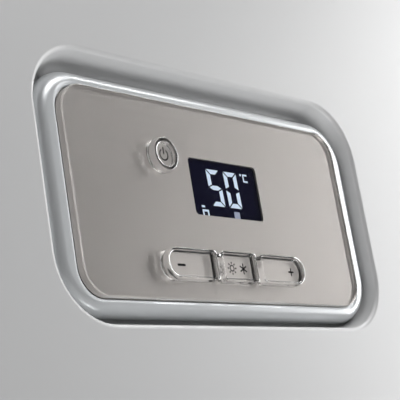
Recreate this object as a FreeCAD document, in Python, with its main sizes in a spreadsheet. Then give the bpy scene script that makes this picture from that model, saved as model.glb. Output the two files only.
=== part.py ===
"""Wall-hung gas boiler: steel casing, lift-off front cover with a recessed control panel,
room-sealed combustion chamber with burner, heat exchanger and fan, and the hydraulic set below it.

Frame: millimetres, +Z up, the wall is the plane y = 0 and the front faces -Y.
The origin is midway between the two hanging holes of the back plate, on the wall.
"""

import FreeCAD, Part
import Sketcher
import os

SIZES = {
    # casing
    "casing_width": 400,
    "casing_height": 700,
    "sheet": 1.2,
    "seat_gap": 0.3,
    "overrun": 2,
    # back plate
    "hang_spacing": 240,
    "hang_hole_radius": 4.5,
    "hang_drop": 22,
    "hang_lip": 16,
    "foot_lip": 26,
    "foot_hole_drop": 15,
    "foot_hole_radius": 3.5,
    # side, top and bottom panels
    "flange_width": 14,
    # front cover
    "cover_return": 58,
    "cover_gap": 0.4,
    "cover_corner": 16,
    "cover_edge_radius": 9,
    "cover_screw_radius": 2,
    "cover_screw_head_radius": 4.5,
    "cover_screw_head": 3,
    "cover_screw_length": 9,
    "cover_screw_inset": 50,
    # recess of the front cover, seen from the front
    "recess_corner": 25,
    "recess_moat_x": 3.3,
    "recess_rise": 1.4,
    "recess_moat_z": 5.2,
    "recess_depth": 11,
    "recess_draft": 14,
    "rim_radius": 2,
    "panel_rise": 165,
    # control bezel
    "bezel_corner": 19,
    "bezel_band_x": 9.6,
    "bezel_band_z": 6,
    "bezel_ledge_x": 4,
    "bezel_ledge_z": 5,
    "bezel_setback": 3.2,
    "bezel_front_radius": 5,
    "bezel_back_radius": 2.4,
    "bezel_opening_corner": 8,
    "bezel_screw_inset": 8,
    # clear lens and the printed plate behind it
    "lens_width": 158,
    "lens_height": 76,
    "lens_corner": 11,
    "lens_thickness": 3,
    "lens_setback": 1.2,
    "lens_edge_radius": 0.7,
    "plate_thickness": 0.8,
    "window_width": 40,
    "window_height": 22.4,
    "window_corner": 1.6,
    "window_shift_x": 3.8,
    "window_shift_z": 6.3,
    # keys
    "key_clearance": 0.3,
    "key_row_width": 80,
    "key_height": 11.4,
    "key_row_drop": 25.2,
    "side_key_width": 27.2,
    "mode_key_width": 20.4,
    "key_proud": 2.2,
    "key_edge_radius": 0.7,
    "key_flange": 1.1,
    "key_flange_thickness": 1.2,
    "key_stem_radius": 1.8,
    "key_stem_length": 1.6,
    "key_travel": 1,
    "power_key_radius": 6.4,
    "power_key_x": 31.8,
    "power_key_z": 15.8,
    # display, board, switches
    "display_width": 46,
    "display_height": 28,
    "board_thickness": 1.6,
    "board_gap": 1,
    "switch_width": 6,
    "switch_body": 2.6,
    "switch_button_radius": 1.7,
    "switch_button": 0.8,
    # housing behind the panel
    "housing_flange": 2.5,
    "housing_flange_inset": 1,
    "housing_corner": 9,
    "housing_depth": 38,
    "housing_wall": 2,
    "housing_side": 4,
    "housing_post_radius": 3,
    "housing_post_inset": 6,
    "housing_screw_radius": 1.5,
    "housing_screw_head_radius": 3,
    "housing_screw_head": 2,
    "housing_screw_bite": 3,
    "cable_exit_radius": 9,
    # room-sealed chamber
    "chamber_sheet": 1.2,
    "chamber_headroom": 20,
    "chamber_flange": 32,
    "chamber_screw_radius": 2,
    "chamber_screw_head_radius": 4.2,
    "chamber_screw_head": 2.6,
    "chamber_screw_length": 6,
    "chamber_screw_inset": 22,
    "sight_radius": 16,
    "sight_thickness": 4,
    "sight_lip": 5,
    # combustion chamber and insulation
    "firebox_height": 96,
    "firebox_gap": 7.5,
    "firebox_side_gap": 60,
    "insulation": 12,
    # burner
    "tray_height": 60,
    "blade_width": 9,
    "blade_height": 34,
    "blade_inset": 16,
    "blade_end": 30,
    "blade_pitch": 20,
    "tray_rail": 8,
    "manifold_side": 14,
    "manifold_end": 18,
    "injector_radius": 3,
    "injector_tip_radius": 1.2,
    "injector_length": 6,
    "manifold_gap": 4,
    "electrode_radius": 4,
    "electrode_length": 20,
    "electrode_wire_radius": 1.1,
    "electrode_wire_length": 26,
    "electrode_rise": 12,
    "electrode_spacing": 24,
    # heat exchanger
    "fin_thickness": 0.8,
    "fin_pitch": 10,
    "fin_height": 62,
    "fin_inset": 5,
    "fin_end": 15,
    "tube_radius": 8,
    "tube_spacing": 56,
    "tube_row_spacing": 28,
    "tube_end": 6,
    "header_width": 12,
    # flue hood and fan
    "hood_height": 28,
    "hood_wall": 1.2,
    "riser_depth": 26,
    "scroll_radius": 62,
    "scroll_wall": 1.5,
    "scroll_rise": 4,
    "fan_front_gap": 22,
    "duct_width": 60,
    "fan_offset": 36,
    "fan_inlet_radius": 32,
    "impeller_radius": 52,
    "impeller_inner_radius": 36,
    "impeller_depth": 34,
    "impeller_gap": 10,
    "impeller_disc": 1.5,
    "impeller_blade": 1.4,
    "impeller_blades": 20,
    "hub_radius": 9,
    "shaft_radius": 4,
    "shaft_play": 0.06,
    "motor_radius": 28,
    "motor_length": 36,
    "motor_cap_radius": 20,
    "motor_cap": 5,
    # flue turret
    "flue_bore_radius": 30.2,
    "flue_wall": 1.8,
    "flue_seat_radius": 27,
    "flue_rise": 72,
    "flue_bore_length": 60,
    "flue_drop": 18,
    "air_collar_radius": 50,
    "air_collar_wall": 1.5,
    "turret_flange_radius": 66,
    "turret_flange": 3,
    "turret_spoke": 4,
    "turret_screw_radius": 2,
    "turret_screw_circle": 58,
    "spigot_lap": 12,
    "spigot_play": 0.4,
    # air pressure switch
    "air_switch_radius": 26,
    "air_switch_depth": 28,
    "air_switch_nipple_radius": 3,
    "air_switch_nipple": 12,
    "air_switch_inset": 60,
    "air_switch_drop": 50,
    # expansion vessel
    "vessel_radius": 152,
    "vessel_depth": 82,
    "vessel_wall": 1.5,
    "vessel_clear": 12.7,
    "vessel_edge_radius": 30,
    "vessel_seam_radius": 157,
    "vessel_seam": 5,
    "vessel_drop": 206,
    # pipes and tails
    "pipe_radius": 9,
    "pipe_bend": 17,
    "pipe_wall": 1,
    "riser_inset": 34,
    "hydraulic_setback": 38,
    "tail_radius": 11,
    "tail_wall": 1.1,
    "tail_step": 0.4,
    "tail_drop": 52,
    "tap_pipe_radius": 7.5,
    "tap_pipe_bend": 20,
    "tap_pipe_reach": 48.8,
    "hole_clearance": 0.4,
    "nut_radius": 18,
    "nut_small_radius": 14,
    "nut_height": 16,
    # hydraulic blocks
    "block_width": 80,
    "block_inset": 70,
    "block_depth": 70,
    "block_height": 66,
    "block_rise": 13,
    "block_edge_radius": 5,
    "block_port_radius": 9,
    # diverter
    "diverter_motor_width": 46,
    "diverter_motor_height": 52,
    "diverter_motor_rise": 20,
    "diverter_post_radius": 4,
    "diverter_post_spacing": 30,
    "spindle_radius": 3,
    "spindle_travel": 6,
    "spindle_head_radius": 6,
    "spindle_head": 4,
    "spindle_depth": 20,
    # pump
    "pump_radius": 46,
    "pump_depth": 52,
    "pump_rise": 56,
    "pump_wall": 5,
    "pump_head_radius": 40,
    "pump_head_length": 70,
    "pump_impeller_radius": 34,
    "pump_impeller_depth": 14,
    "pump_impeller_disc": 3,
    "pump_vane": 3,
    "pump_vanes": 6,
    "pump_neck_radius": 13,
    # domestic water heat exchanger
    "plate_stack_height": 72,
    "plate_stack_gap": 2,
    "plate_stack_wall_gap": 16,
    "plate_port_radius": 10,
    "plate_port_length": 12,
    "plate_port_inset": 24,
    "plate_port_rise": 20,
    # gas valve
    "gas_valve_width": 72,
    "gas_valve_depth": 66,
    "gas_valve_height": 78,
    "gas_valve_rise": 56,
    "solenoid_radius": 14,
    "solenoid_length": 30,
    "solenoid_spacing": 34,
    # gauge
    "gauge_radius": 21,
    "gauge_depth": 18,
    "gauge_proud": 5,
    "gauge_wall": 2,
    "gauge_cup": 4,
    "gauge_x": 34,
    "gauge_setback": 36.6,
    "needle_length": 13,
    "needle_width": 1.6,
    "needle_thickness": 0.8,
    "needle_pin_radius": 1,
    "needle_pin": 3,
    "needle_play": 0.06,
    # relief valve
    "relief_radius": 12,
    "relief_length": 26,
    "relief_knob_radius": 15,
    "relief_knob_length": 16,
    "relief_stem_radius": 4,
    "relief_stem": 8,
    "relief_play": 0.06,
    "relief_drain_radius": 7,
    "relief_drain_drop": 34,
    # main control box and cable gland
    "main_box_width": 78,
    "main_box_depth": 46,
    "main_box_height": 112,
    "main_box_corner": 6,
    "main_box_gap": 14,
    "gland_radius": 9,
    "gland_length": 22,
    "gland_nut_radius": 12,
    "gland_nut": 6,
    "gland_bore_radius": 3.6,
    "gland_inset": 24,
    "gland_y": 60,
}

FULL_TURN = 360
HEX_SIDES = 6
TOLERANCE_SHARE = 0.001

doc = FreeCAD.newDocument("gas_boiler")
sheet = doc.addObject("Spreadsheet::Sheet", "Sizes")
for row, (alias, number) in enumerate(SIZES.items(), 1):
    sheet.set(f"A{row}", alias)
    sheet.set(f"B{row}", str(number))
    sheet.setAlias(f"B{row}", alias)
doc.recompute()


class Size:
    """A size of the sheet, or a sum of sizes: its expression and its value in millimetres."""

    def __init__(self, text, value):
        self.text = text
        self.value = value

    def __add__(self, other):
        other = as_size(other)
        return Size(f"({self.text} + {other.text})", self.value + other.value)

    __radd__ = __add__

    def __sub__(self, other):
        other = as_size(other)
        return Size(f"({self.text} - {other.text})", self.value - other.value)

    def __rsub__(self, other):
        return as_size(other) - self

    def __mul__(self, share):
        return Size(f"({self.text} * {share})", self.value * share)

    __rmul__ = __mul__

    def __truediv__(self, share):
        return Size(f"({self.text} / {share})", self.value / share)

    def __neg__(self):
        return Size(f"(-1 * {self.text})", -self.value)


def as_size(value):
    return value if isinstance(value, Size) else Size(str(value), value)


class Sheet:
    """Every alias of the sheet as a Size."""

    def __getattr__(self, alias):
        return Size(f"Sizes.{alias}", float(sheet.get(alias)))


s = Sheet()
vector = FreeCAD.Vector
NO_TURN = FreeCAD.Rotation()
TURNS = {
    "Z": NO_TURN,
    "-Z": FreeCAD.Rotation(vector(1, 0, 0), 180),
    "Y": FreeCAD.Rotation(vector(1, 0, 0), -90),
    "-Y": FreeCAD.Rotation(vector(1, 0, 0), 90),
    "X": FreeCAD.Rotation(vector(0, 1, 0), 90),
    "-X": FreeCAD.Rotation(vector(0, 1, 0), -90),
}
pieces = []


def bind(thing, name, value):
    """Ties a property to its expression of the sheet."""
    thing.setExpression(name, as_size(value).text)


def place(thing, x, y, z, turn=NO_TURN):
    """Puts a thing at a bound place, turned once."""
    spot = [as_size(value) for value in (x, y, z)]
    thing.Placement = FreeCAD.Placement(vector(*[size.value for size in spot]), turn)
    for axis, size in zip("xyz", spot):
        bind(thing, f"Placement.Base.{axis}", size)
    return thing


def block(name, x, y, z):
    """A box between pairs of coordinates."""
    box = doc.addObject("Part::Box", name)
    for side, (low, high) in zip(("Length", "Width", "Height"), (x, y, z)):
        bind(box, side, as_size(high) - low)
    return place(box, x[0], y[0], z[0])


def rod(name, start, axis, length, radius):
    """A round bar from a point along an axis."""
    bar = doc.addObject("Part::Cylinder", name)
    bind(bar, "Radius", radius)
    bind(bar, "Height", length)
    return place(bar, *start, turn=TURNS[axis])


def taper(name, start, axis, length, radius, end_radius):
    """A round bar that narrows along its axis."""
    cone = doc.addObject("Part::Cone", name)
    bind(cone, "Radius1", radius)
    bind(cone, "Radius2", end_radius)
    bind(cone, "Height", length)
    return place(cone, *start, turn=TURNS[axis])


def hexagon(name, start, axis, length, radius):
    """A hexagonal bar, such as a nut without its bore."""
    prism = doc.addObject("Part::Prism", name)
    prism.Polygon = HEX_SIDES
    bind(prism, "Circumradius", radius)
    bind(prism, "Height", length)
    return place(prism, *start, turn=TURNS[axis])


def fuse(name, *solids):
    joined = doc.addObject("Part::MultiFuse", name)
    joined.Shapes = list(solids)
    joined.Refine = True
    return joined


def common(name, *solids):
    shared = doc.addObject("Part::MultiCommon", name)
    shared.Shapes = list(solids)
    return shared


def cut(name, base, *tools):
    result = doc.addObject("Part::Cut", name)
    result.Base = base
    result.Tool = tools[0] if len(tools) == 1 else fuse(f"{name}_tools", *tools)
    return result


def group(name, *solids):
    """Separate solids that share one node."""
    several = doc.addObject("Part::Compound", name)
    several.Links = list(solids)
    return several


def origin_plane(body, role):
    return next(f for f in body.Origin.OriginFeatures if f.Role == role)


def new_body(name, plane):
    """A body with one empty sketch on an origin plane."""
    body = doc.addObject("PartDesign::Body", f"{name}_body")
    sketch = body.newObject("Sketcher::SketchObject", f"{name}_sketch")
    sketch.AttachmentSupport = [(origin_plane(body, plane), "")]
    sketch.MapMode = "FlatFace"
    return body, sketch


def driven(sketch, name, kind, *geometry):
    """A named driving dimension of a sketch, bound to its size, which comes last."""
    *where, size = geometry
    index = sketch.addConstraint(Sketcher.Constraint(kind, *where, size.value))
    sketch.renameConstraint(index, name)
    bind(sketch, f"Constraints.{name}", size)


def rounded_outline(sketch, width, height, corner):
    """A rectangle with round corners about the sketch's origin, fully dimensioned."""
    w, h, r = width.value / 2, height.value / 2, corner.value
    ends = [(-w + r, -h, w - r, -h), (w, -h + r, w, h - r), (w - r, h, -w + r, h), (-w, h - r, -w, -h + r)]
    centres = [(w - r, -h + r), (w - r, h - r), (-w + r, h - r), (-w + r, -h + r)]
    for number, ((x0, z0, x1, z1), (cx, cz)) in enumerate(zip(ends, centres)):
        sketch.addGeometry(Part.LineSegment(vector(x0, z0, 0), vector(x1, z1, 0)))
        circle = Part.Circle(vector(cx, cz, 0), vector(0, 0, 1), r)
        quarter = [
            FreeCAD.Units.Quantity(f"{90 * turn} deg").getValueAs("rad").Value
            for turn in (number - 1, number)
        ]
        sketch.addGeometry(Part.ArcOfCircle(circle, *quarter))
    for number in range(8):
        sketch.addConstraint(Sketcher.Constraint("Tangent", number, 2, (number + 1) % 8, 1))
    for number in (0, 4):
        sketch.addConstraint(Sketcher.Constraint("Horizontal", number))
    for number in (2, 6):
        sketch.addConstraint(Sketcher.Constraint("Vertical", number))
    for number in (3, 5, 7):
        sketch.addConstraint(Sketcher.Constraint("Equal", 1, number))
    driven(sketch, "corner", "Radius", 1, corner)
    driven(sketch, "width", "DistanceX", 6, 1, 2, 1, width)
    driven(sketch, "height", "DistanceY", 0, 1, 4, 1, height)
    driven(sketch, "half_width", "DistanceX", -1, 1, 2, 1, width / 2)
    driven(sketch, "half_height", "DistanceY", -1, 1, 4, 1, height / 2)


def rounded_plate(name, centre, front, back, width, height, corner, draft=None):
    """A plate with round corners that faces the front, from its back plane to its front plane.
    With a draft its outline shrinks towards the back."""
    body, sketch = new_body(name, "XZ_Plane")
    rounded_outline(sketch, width, height, corner)
    pad = body.newObject("PartDesign::Pad", f"{name}_pad")
    pad.Profile = sketch
    bind(pad, "Length", back - front)
    if draft is None:
        place(body, centre[0], back, centre[1])
    else:
        pad.Reversed = True
        bind(pad, "TaperAngle", -draft)
        place(body, centre[0], front, centre[1])
    doc.recompute()
    return body


def round_edges(body, radius, *where):
    """Rounds the edges of a rounded plate that lie in its front or back plane."""
    before = body.Tip
    box = before.Shape.BoundBox
    planes = {"front": box.YMin, "back": box.YMax}
    slack = TOLERANCE_SHARE * box.YLength
    names = [
        f"Edge{index}"
        for index, edge in enumerate(before.Shape.Edges, 1)
        if any(abs(y - planes[side]) < slack for side in where for y in [edge.BoundBox.Center.y])
        and edge.BoundBox.YLength < slack
    ]
    fillet = body.newObject("PartDesign::Fillet", f"{body.Name}_round")
    fillet.Base = (before, names)
    bind(fillet, "Radius", radius)
    doc.recompute()
    return body


def soften(name, base, radius, wanted):
    """Rounds the edges of a part that the test picks out."""
    doc.recompute()
    picked = [index for index, edge in enumerate(base.Shape.Edges, 1) if wanted(edge)]
    fillet = doc.addObject("Part::Fillet", name)
    fillet.Base = base
    fillet.Edges = [(index, radius.value, radius.value) for index in picked]
    doc.recompute()
    return fillet


def lies_in_plane(edge, axis, value):
    """True for an edge in the plane where the named axis has the value."""
    box = edge.BoundBox
    low, high = getattr(box, f"{axis}Min"), getattr(box, f"{axis}Max")
    slack = TOLERANCE_SHARE * s.overrun.value
    return abs(low - value) < slack and abs(high - value) < slack


def pipe(name, points, radius, bend, wall):
    """A tube of straight runs joined by tangent arcs of one bend radius."""
    corners = [vector(*[as_size(value).value for value in point]) for point in points]
    edges, start = [], corners[0]
    for before, corner, after in zip(corners, corners[1:], corners[2:]):
        into, out = (corner - before).normalize(), (after - corner).normalize()
        first, last = corner - into * bend.value, corner + out * bend.value
        centre = first + out * bend.value
        middle = centre + (corner - centre).normalize() * bend.value
        edges += [Part.LineSegment(start, first).toShape(), Part.Arc(first, middle, last).toShape()]
        start = last
    edges.append(Part.LineSegment(start, corners[-1]).toShape())
    path = doc.addObject("Part::Feature", f"{name}_path")
    path.Shape = Part.Wire(edges)
    turn = FreeCAD.Rotation(vector(0, 0, 1), corners[1] - corners[0])
    sweeps = []
    for label, size in (("outside", radius), ("inside", radius - wall)):
        circle = doc.addObject("Part::Circle", f"{name}_{label}_circle")
        bind(circle, "Radius", size)
        place(circle, *points[0], turn=turn)
        sweep = doc.addObject("Part::Sweep", f"{name}_{label}")
        sweep.Sections = [circle]
        sweep.Spine = (path, [f"Edge{number}" for number in range(1, len(edges) + 1)])
        sweep.Solid = True
        sweep.Frenet = False
        sweeps.append(sweep)
    return cut(f"{name}_tube", *sweeps)


def tube(name, start, axis, length, radius, bore):
    """A straight round tube."""
    outside = rod(f"{name}_outside", start, axis, length, radius)
    return cut(f"{name}_tube", outside, rod(f"{name}_bore", start, axis, length, bore))


def piece(label, thing):
    """Names a finished sub-part. The label names its file."""
    thing.Label = label
    pieces.append(thing)
    return thing


# sizes that follow others
s.bezel_width = s.lens_width + s.bezel_band_x * 2
s.bezel_height = s.lens_height + s.bezel_band_z * 2
s.bezel_opening_width = s.lens_width - s.bezel_ledge_x * 2
s.bezel_opening_height = s.lens_height - s.bezel_ledge_z * 2
s.recess_width = s.bezel_width + s.recess_moat_x * 2
s.recess_height = s.bezel_height + s.recess_moat_z * 2
s.board_width = s.bezel_opening_width - s.board_gap * 2
s.board_height = s.bezel_opening_height - s.board_gap * 2
s.housing_flange_width = s.bezel_width - s.housing_flange_inset * 2
s.housing_flange_height = s.bezel_height - s.housing_flange_inset * 2
s.housing_width = s.bezel_opening_width + s.housing_side * 2
s.housing_height = s.bezel_opening_height + s.housing_side * 2
s.vessel_zone = s.sheet + s.vessel_depth + s.vessel_clear
s.cover_zone = s.cover_return + s.cover_gap + s.sheet + s.seat_gap + s.chamber_sheet
s.scroll_depth = s.impeller_depth + s.impeller_gap * 2
s.chamber_depth = s.riser_depth + s.scroll_depth + s.motor_length + s.motor_cap + s.fan_front_gap
s.casing_depth = s.cover_zone + s.chamber_depth + s.vessel_zone
s.fan_height = s.scroll_rise * 2 + s.scroll_radius * 2 + s.chamber_headroom
s.chamber_height = s.tray_height + s.firebox_height + s.fin_height + s.hood_height + s.fan_height
s.firebox_depth = s.chamber_depth - s.firebox_gap * 2
s.firebox_width = s.casing_width - s.firebox_side_gap * 2
s.fin_depth = s.firebox_depth - s.fin_inset * 2
s.fin_spread = s.firebox_width - s.fin_end * 2
s.fin_count = as_size(int(s.fin_spread.value / s.fin_pitch.value) + 1)
s.blade_length = s.firebox_depth - s.blade_inset * 2
s.blade_spread = s.firebox_width - s.blade_end * 2
s.blade_count = as_size(int(s.blade_spread.value / s.blade_pitch.value) + 1)
s.manifold_length = s.firebox_width - s.manifold_end * 2
s.riser_x = s.casing_width / 2 - s.riser_inset
s.tail_spacing = s.casing_width / 2 - s.block_inset
s.tail_y = s.vessel_zone + s.chamber_sheet / 2 + s.chamber_depth / 2 - s.hydraulic_setback
s.plate_stack_width = (s.tail_spacing - s.block_width / 2 - s.plate_stack_gap) * 2
s.plate_zone = s.sheet + s.plate_stack_wall_gap + s.plate_port_length + s.tap_pipe_reach
s.plate_stack_depth = s.tail_y - s.plate_zone
s.tap_pipe_x = s.plate_stack_width / 2 - s.plate_port_inset
s.air_switch_x = s.casing_width / 2 - s.air_switch_inset
s.gland_x = s.casing_width / 2 - s.gland_inset
s.gauge_y = s.casing_depth - s.cover_return - s.cover_gap - s.gauge_setback
s.cover_screw_spacing = s.casing_width - s.cover_screw_inset * 2

# main planes and lines
top = -s.hang_drop
bottom = top - s.casing_height
front = -s.casing_depth
side = s.casing_width / 2
panel_z = bottom + s.panel_rise
join_y = front + s.cover_return + s.cover_gap
floor_y = front + s.recess_depth
lens_y = front + s.lens_setback
lens_back = lens_y + s.lens_thickness
plate_back = lens_back + s.plate_thickness
chamber_front = join_y + s.sheet + s.seat_gap
chamber_mouth = chamber_front + s.chamber_sheet
chamber_back = chamber_mouth + s.chamber_depth
chamber_top = top - s.sheet - s.seat_gap
chamber_floor = chamber_top - s.chamber_height + s.chamber_sheet
chamber_mid_y = (chamber_mouth + chamber_back - s.chamber_sheet) / 2
chamber_side = side - s.sheet - s.seat_gap


def back_plate():
    """Flat steel plate on the wall with a hanging lip above the casing and a fixing lip below it."""
    plate = block("back_sheet", (-side, side), (-s.sheet, 0), (bottom - s.foot_lip, s.hang_lip))
    holes = []
    for number, share in enumerate((-0.5, 0.5)):
        x = s.hang_spacing * share
        holes.append(rod(f"hang_hole_{number}", (x, -s.overrun, 0), "Y", s.overrun * 2, s.hang_hole_radius))
        low = bottom - s.foot_hole_drop
        holes.append(rod(f"foot_hole_{number}", (x, -s.overrun, low), "Y", s.overrun * 2, s.foot_hole_radius))
    piece("back_plate", cut("back_plate_cut", plate, *holes))


def side_panels():
    """Folded side sheets. The front edge turns inwards, and the cover closes against it."""
    for label, sign in (("left_side_panel", -1), ("right_side_panel", 1)):
        outer, inner, fold = side * sign, (side - s.sheet) * sign, (side - s.flange_width) * sign
        wall_x = (outer, inner) if sign < 0 else (inner, outer)
        fold_x = (inner, fold) if sign < 0 else (fold, inner)
        wall = block(f"{label}_wall", wall_x, (join_y, -s.sheet), (bottom, top))
        flange = block(f"{label}_fold", fold_x, (join_y, join_y + s.sheet), (bottom + s.sheet, top - s.sheet))
        piece(label, fuse(f"{label}_fused", wall, flange))


def top_panel():
    """Top sheet with the round way for the flue and the combustion air."""
    x, y = (-side + s.sheet, side - s.sheet), (join_y, -s.sheet)
    plate = block("top_sheet", x, y, (top - s.sheet, top))
    bore = s.air_collar_radius - s.air_collar_wall
    way = rod("top_way", (0, chamber_mid_y, top - s.overrun), "Z", s.overrun * 2, bore)
    piece("top_panel", cut("top_panel_cut", plate, way))


def pipe_places():
    """Centre, radius and name of everything that leaves through the bottom panel."""
    return [
        ("flow", -s.tail_spacing, -s.tail_y, s.tail_radius),
        ("gas", as_size(0), -s.tail_y, s.tail_radius),
        ("return", s.tail_spacing, -s.tail_y, s.tail_radius),
        ("hot", -s.tap_pipe_x, -s.tail_y, s.tap_pipe_radius),
        ("cold", s.tap_pipe_x, -s.tail_y, s.tap_pipe_radius),
    ]


def bottom_panel():
    """Bottom sheet that locates the pipes, the gauge, the relief drain and the cable gland."""
    x, y = (-side + s.sheet, side - s.sheet), (join_y, -s.sheet)
    plate = block("bottom_sheet", x, y, (bottom, bottom + s.sheet))
    low, through = bottom - s.overrun, s.overrun * 2 + s.sheet
    spots = [(name, px, py, radius + s.hole_clearance) for name, px, py, radius in pipe_places()]
    spots.append(("gauge", s.gauge_x, -s.gauge_y, s.gauge_radius - s.gauge_wall + s.hole_clearance))
    spots.append(("drain", s.tail_spacing, relief_y(), s.relief_drain_radius + s.hole_clearance))
    spots.append(("gland", -s.gland_x, -s.gland_y, s.gland_radius + s.hole_clearance))
    holes = [rod(f"{name}_hole", (px, py, low), "Z", through, radius) for name, px, py, radius in spots]
    piece("bottom_panel", cut("bottom_panel_cut", plate, *holes))


def recess_void(name, grow, depth):
    """The drafted pan that the front cover is pressed into, grown by a sheet for its inner face."""
    size = (s.recess_width + grow * 2, s.recess_height + grow * 2, s.recess_corner + grow)
    middle = panel_z + s.recess_rise
    return rounded_plate(name, (0, middle), front, front + depth, *size, draft=s.recess_draft)


def front_cover():
    """Pressed steel cover: a tray with round edges, a soft-edged recess and an opening in its floor."""
    middle = (bottom + top) / 2
    size = (s.casing_width, s.casing_height)
    tray = rounded_plate("cover_tray", (0, middle), front, front + s.cover_return, *size, s.cover_corner)
    round_edges(tray, s.cover_edge_radius, "front")
    inner = [length - s.sheet * 2 for length in size]
    cavity_back = front + s.cover_return + s.overrun
    inner_corner = s.cover_corner - s.sheet
    cavity = rounded_plate("cover_cavity", (0, middle), front + s.sheet, cavity_back, *inner, inner_corner)
    round_edges(cavity, s.cover_edge_radius - s.sheet, "front")
    pan = recess_void("recess", as_size(0), s.recess_depth)
    pan_outside = recess_void("recess_back", s.sheet, s.recess_depth + s.sheet)
    hollow = cut("cover_hollow", cavity, pan_outside)
    half_rim = s.recess_height.value / 2 + s.recess_rise.value + s.rim_radius.value + s.sheet.value

    def rim_edge(plane):
        return lambda edge: (
            lies_in_plane(edge, "Y", plane.value)
            and abs(edge.BoundBox.Center.z - panel_z.value) < half_rim
            and edge.BoundBox.XLength < s.recess_width.value + s.sheet.value * 2
        )

    hollow = soften("cover_hollow_rim", hollow, s.rim_radius - s.sheet, rim_edge(front + s.sheet))
    skin = soften("cover_skin", cut("cover_pressed", tray, pan), s.rim_radius, rim_edge(front))
    shell = cut("cover_shell", skin, hollow)
    opening = rounded_plate(
        "cover_opening", (0, panel_z), floor_y - s.overrun, floor_y + s.sheet + s.overrun,
        s.bezel_opening_width, s.bezel_opening_height, s.bezel_opening_corner,
    )
    holes = [
        rod(f"cover_floor_hole_{n}", (x, floor_y - s.overrun, z), "Y", s.overrun * 2 + s.sheet,
            s.housing_screw_radius + s.hole_clearance)
        for n, (x, z) in enumerate(panel_screw_places())
    ]
    low = [
        rod(f"cover_screw_hole_{n}", (x, cover_screw_y(), bottom - s.overrun), "Z", s.overrun * 2 + s.sheet,
            s.cover_screw_radius + s.hole_clearance)
        for n, x in enumerate(cover_screw_places())
    ]
    piece("front_cover", cut("front_cover_cut", shell, opening, *holes, *low))


def cover_screw_places():
    return [-s.cover_screw_spacing / 2, s.cover_screw_spacing / 2]


def cover_screw_y():
    return front + s.cover_return / 2


def cover_screws():
    """Two screws up through the bottom edge of the cover."""
    screws = []
    for number, x in enumerate(cover_screw_places()):
        y = cover_screw_y()
        head_z = bottom - s.cover_screw_head
        head = rod(
            f"cover_screw_head_{number}", (x, y, head_z), "Z", s.cover_screw_head, s.cover_screw_head_radius
        )
        length = s.cover_screw_length + s.cover_screw_head
        shank = rod(f"cover_screw_shank_{number}", (x, y, head_z), "Z", length, s.cover_screw_radius)
        screws.append(fuse(f"cover_screw_{number}", head, shank))
    piece("cover_screws", group("cover_screw_pair", *screws))


def panel_screw_places():
    """The four corners where the housing screws reach the bezel."""
    x = s.bezel_width / 2 - s.bezel_screw_inset
    z = s.bezel_height / 2 - s.bezel_screw_inset
    return [(x * i, panel_z + z * k) for i in (-1, 1) for k in (-1, 1)]


def control_bezel():
    """Silver frame with bull-nosed edges that seats the lens and stands on the recess floor."""
    size = (s.bezel_width, s.bezel_height, s.bezel_corner)
    body = rounded_plate("bezel", (0, panel_z), front + s.bezel_setback, floor_y, *size)
    round_edges(body, s.bezel_front_radius, "front")
    round_edges(body, s.bezel_back_radius, "back")
    play = s.key_clearance / 2
    seat = rounded_plate(
        "lens_seat", (0, panel_z), front, plate_back,
        s.lens_width + play * 2, s.lens_height + play * 2, s.lens_corner + play,
    )
    opening = rounded_plate(
        "bezel_opening", (0, panel_z), front, floor_y + s.overrun,
        s.bezel_opening_width, s.bezel_opening_height, s.bezel_opening_corner,
    )
    bite = s.housing_screw_bite
    holes = [
        rod(f"bezel_hole_{n}", (x, floor_y - bite, z), "Y", bite + s.overrun, s.housing_screw_radius)
        for n, (x, z) in enumerate(panel_screw_places())
    ]
    piece("control_bezel", cut("bezel_cut", body, seat, opening, *holes))


def key_prism(name, x, y, grow):
    """Part of the pill-shaped key row between two x values, grown all round."""
    z = panel_z - s.key_row_drop
    half, end = s.key_height / 2 + grow, (s.key_row_width - s.key_height) / 2
    middle = block(f"{name}_middle", (-end, end), y, (z - half, z + half))
    ends = [
        rod(f"{name}_end_{n}", (end * sign, y[0], z), "Y", y[1] - y[0], half)
        for n, sign in enumerate((-1, 1))
    ]
    pill = fuse(f"{name}_pill", middle, *ends)
    slot = block(f"{name}_slot", (x[0] - grow, x[1] + grow), y, (z - half, z + half))
    return common(f"{name}_prism", pill, slot)


def key_spans():
    """The x range of each key of the row."""
    edge, mode = s.key_row_width / 2, s.mode_key_width / 2
    return {
        "minus": (-edge, -edge + s.side_key_width),
        "mode": (-mode, mode),
        "plus": (edge - s.side_key_width, edge),
    }


def key_openings(name, y):
    """Cutters for the four keys, with running room."""
    cutters = [key_prism(f"{name}_{key}", x, y, s.key_clearance) for key, x in key_spans().items()]
    spot = (-s.power_key_x, y[0], panel_z + s.power_key_z)
    cutters.append(rod(f"{name}_power", spot, "Y", y[1] - y[0], s.power_key_radius + s.key_clearance))
    return cutters


def fascia_lens():
    """Clear acrylic sheet over the printed plate, with openings for the keys."""
    size = (s.lens_width, s.lens_height, s.lens_corner)
    body = rounded_plate("lens", (0, panel_z), lens_y, lens_back, *size)
    round_edges(body, s.lens_edge_radius, "front")
    reach = (lens_y - s.overrun, lens_back + s.overrun)
    piece("fascia_lens", cut("lens_cut", body, *key_openings("lens_opening", reach)))


def fascia_plate():
    """Thin champagne-coloured metal plate behind the lens, with the display window."""
    size = (s.lens_width, s.lens_height, s.lens_corner)
    body = rounded_plate("plate", (0, panel_z), lens_back, plate_back, *size)
    reach = (lens_back - s.overrun, plate_back + s.overrun)
    centre = (s.window_shift_x, panel_z + s.window_shift_z)
    window = rounded_plate("window", centre, *reach, s.window_width, s.window_height, s.window_corner)
    piece("fascia_plate", cut("plate_cut", body, window, *key_openings("plate_opening", reach)))


def key_top():
    return lens_y - s.key_proud


def key_flange_span():
    """The y range of the flange that keeps a key behind the plate."""
    start = plate_back + s.seat_gap
    return start, start + s.key_flange_thickness


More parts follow.
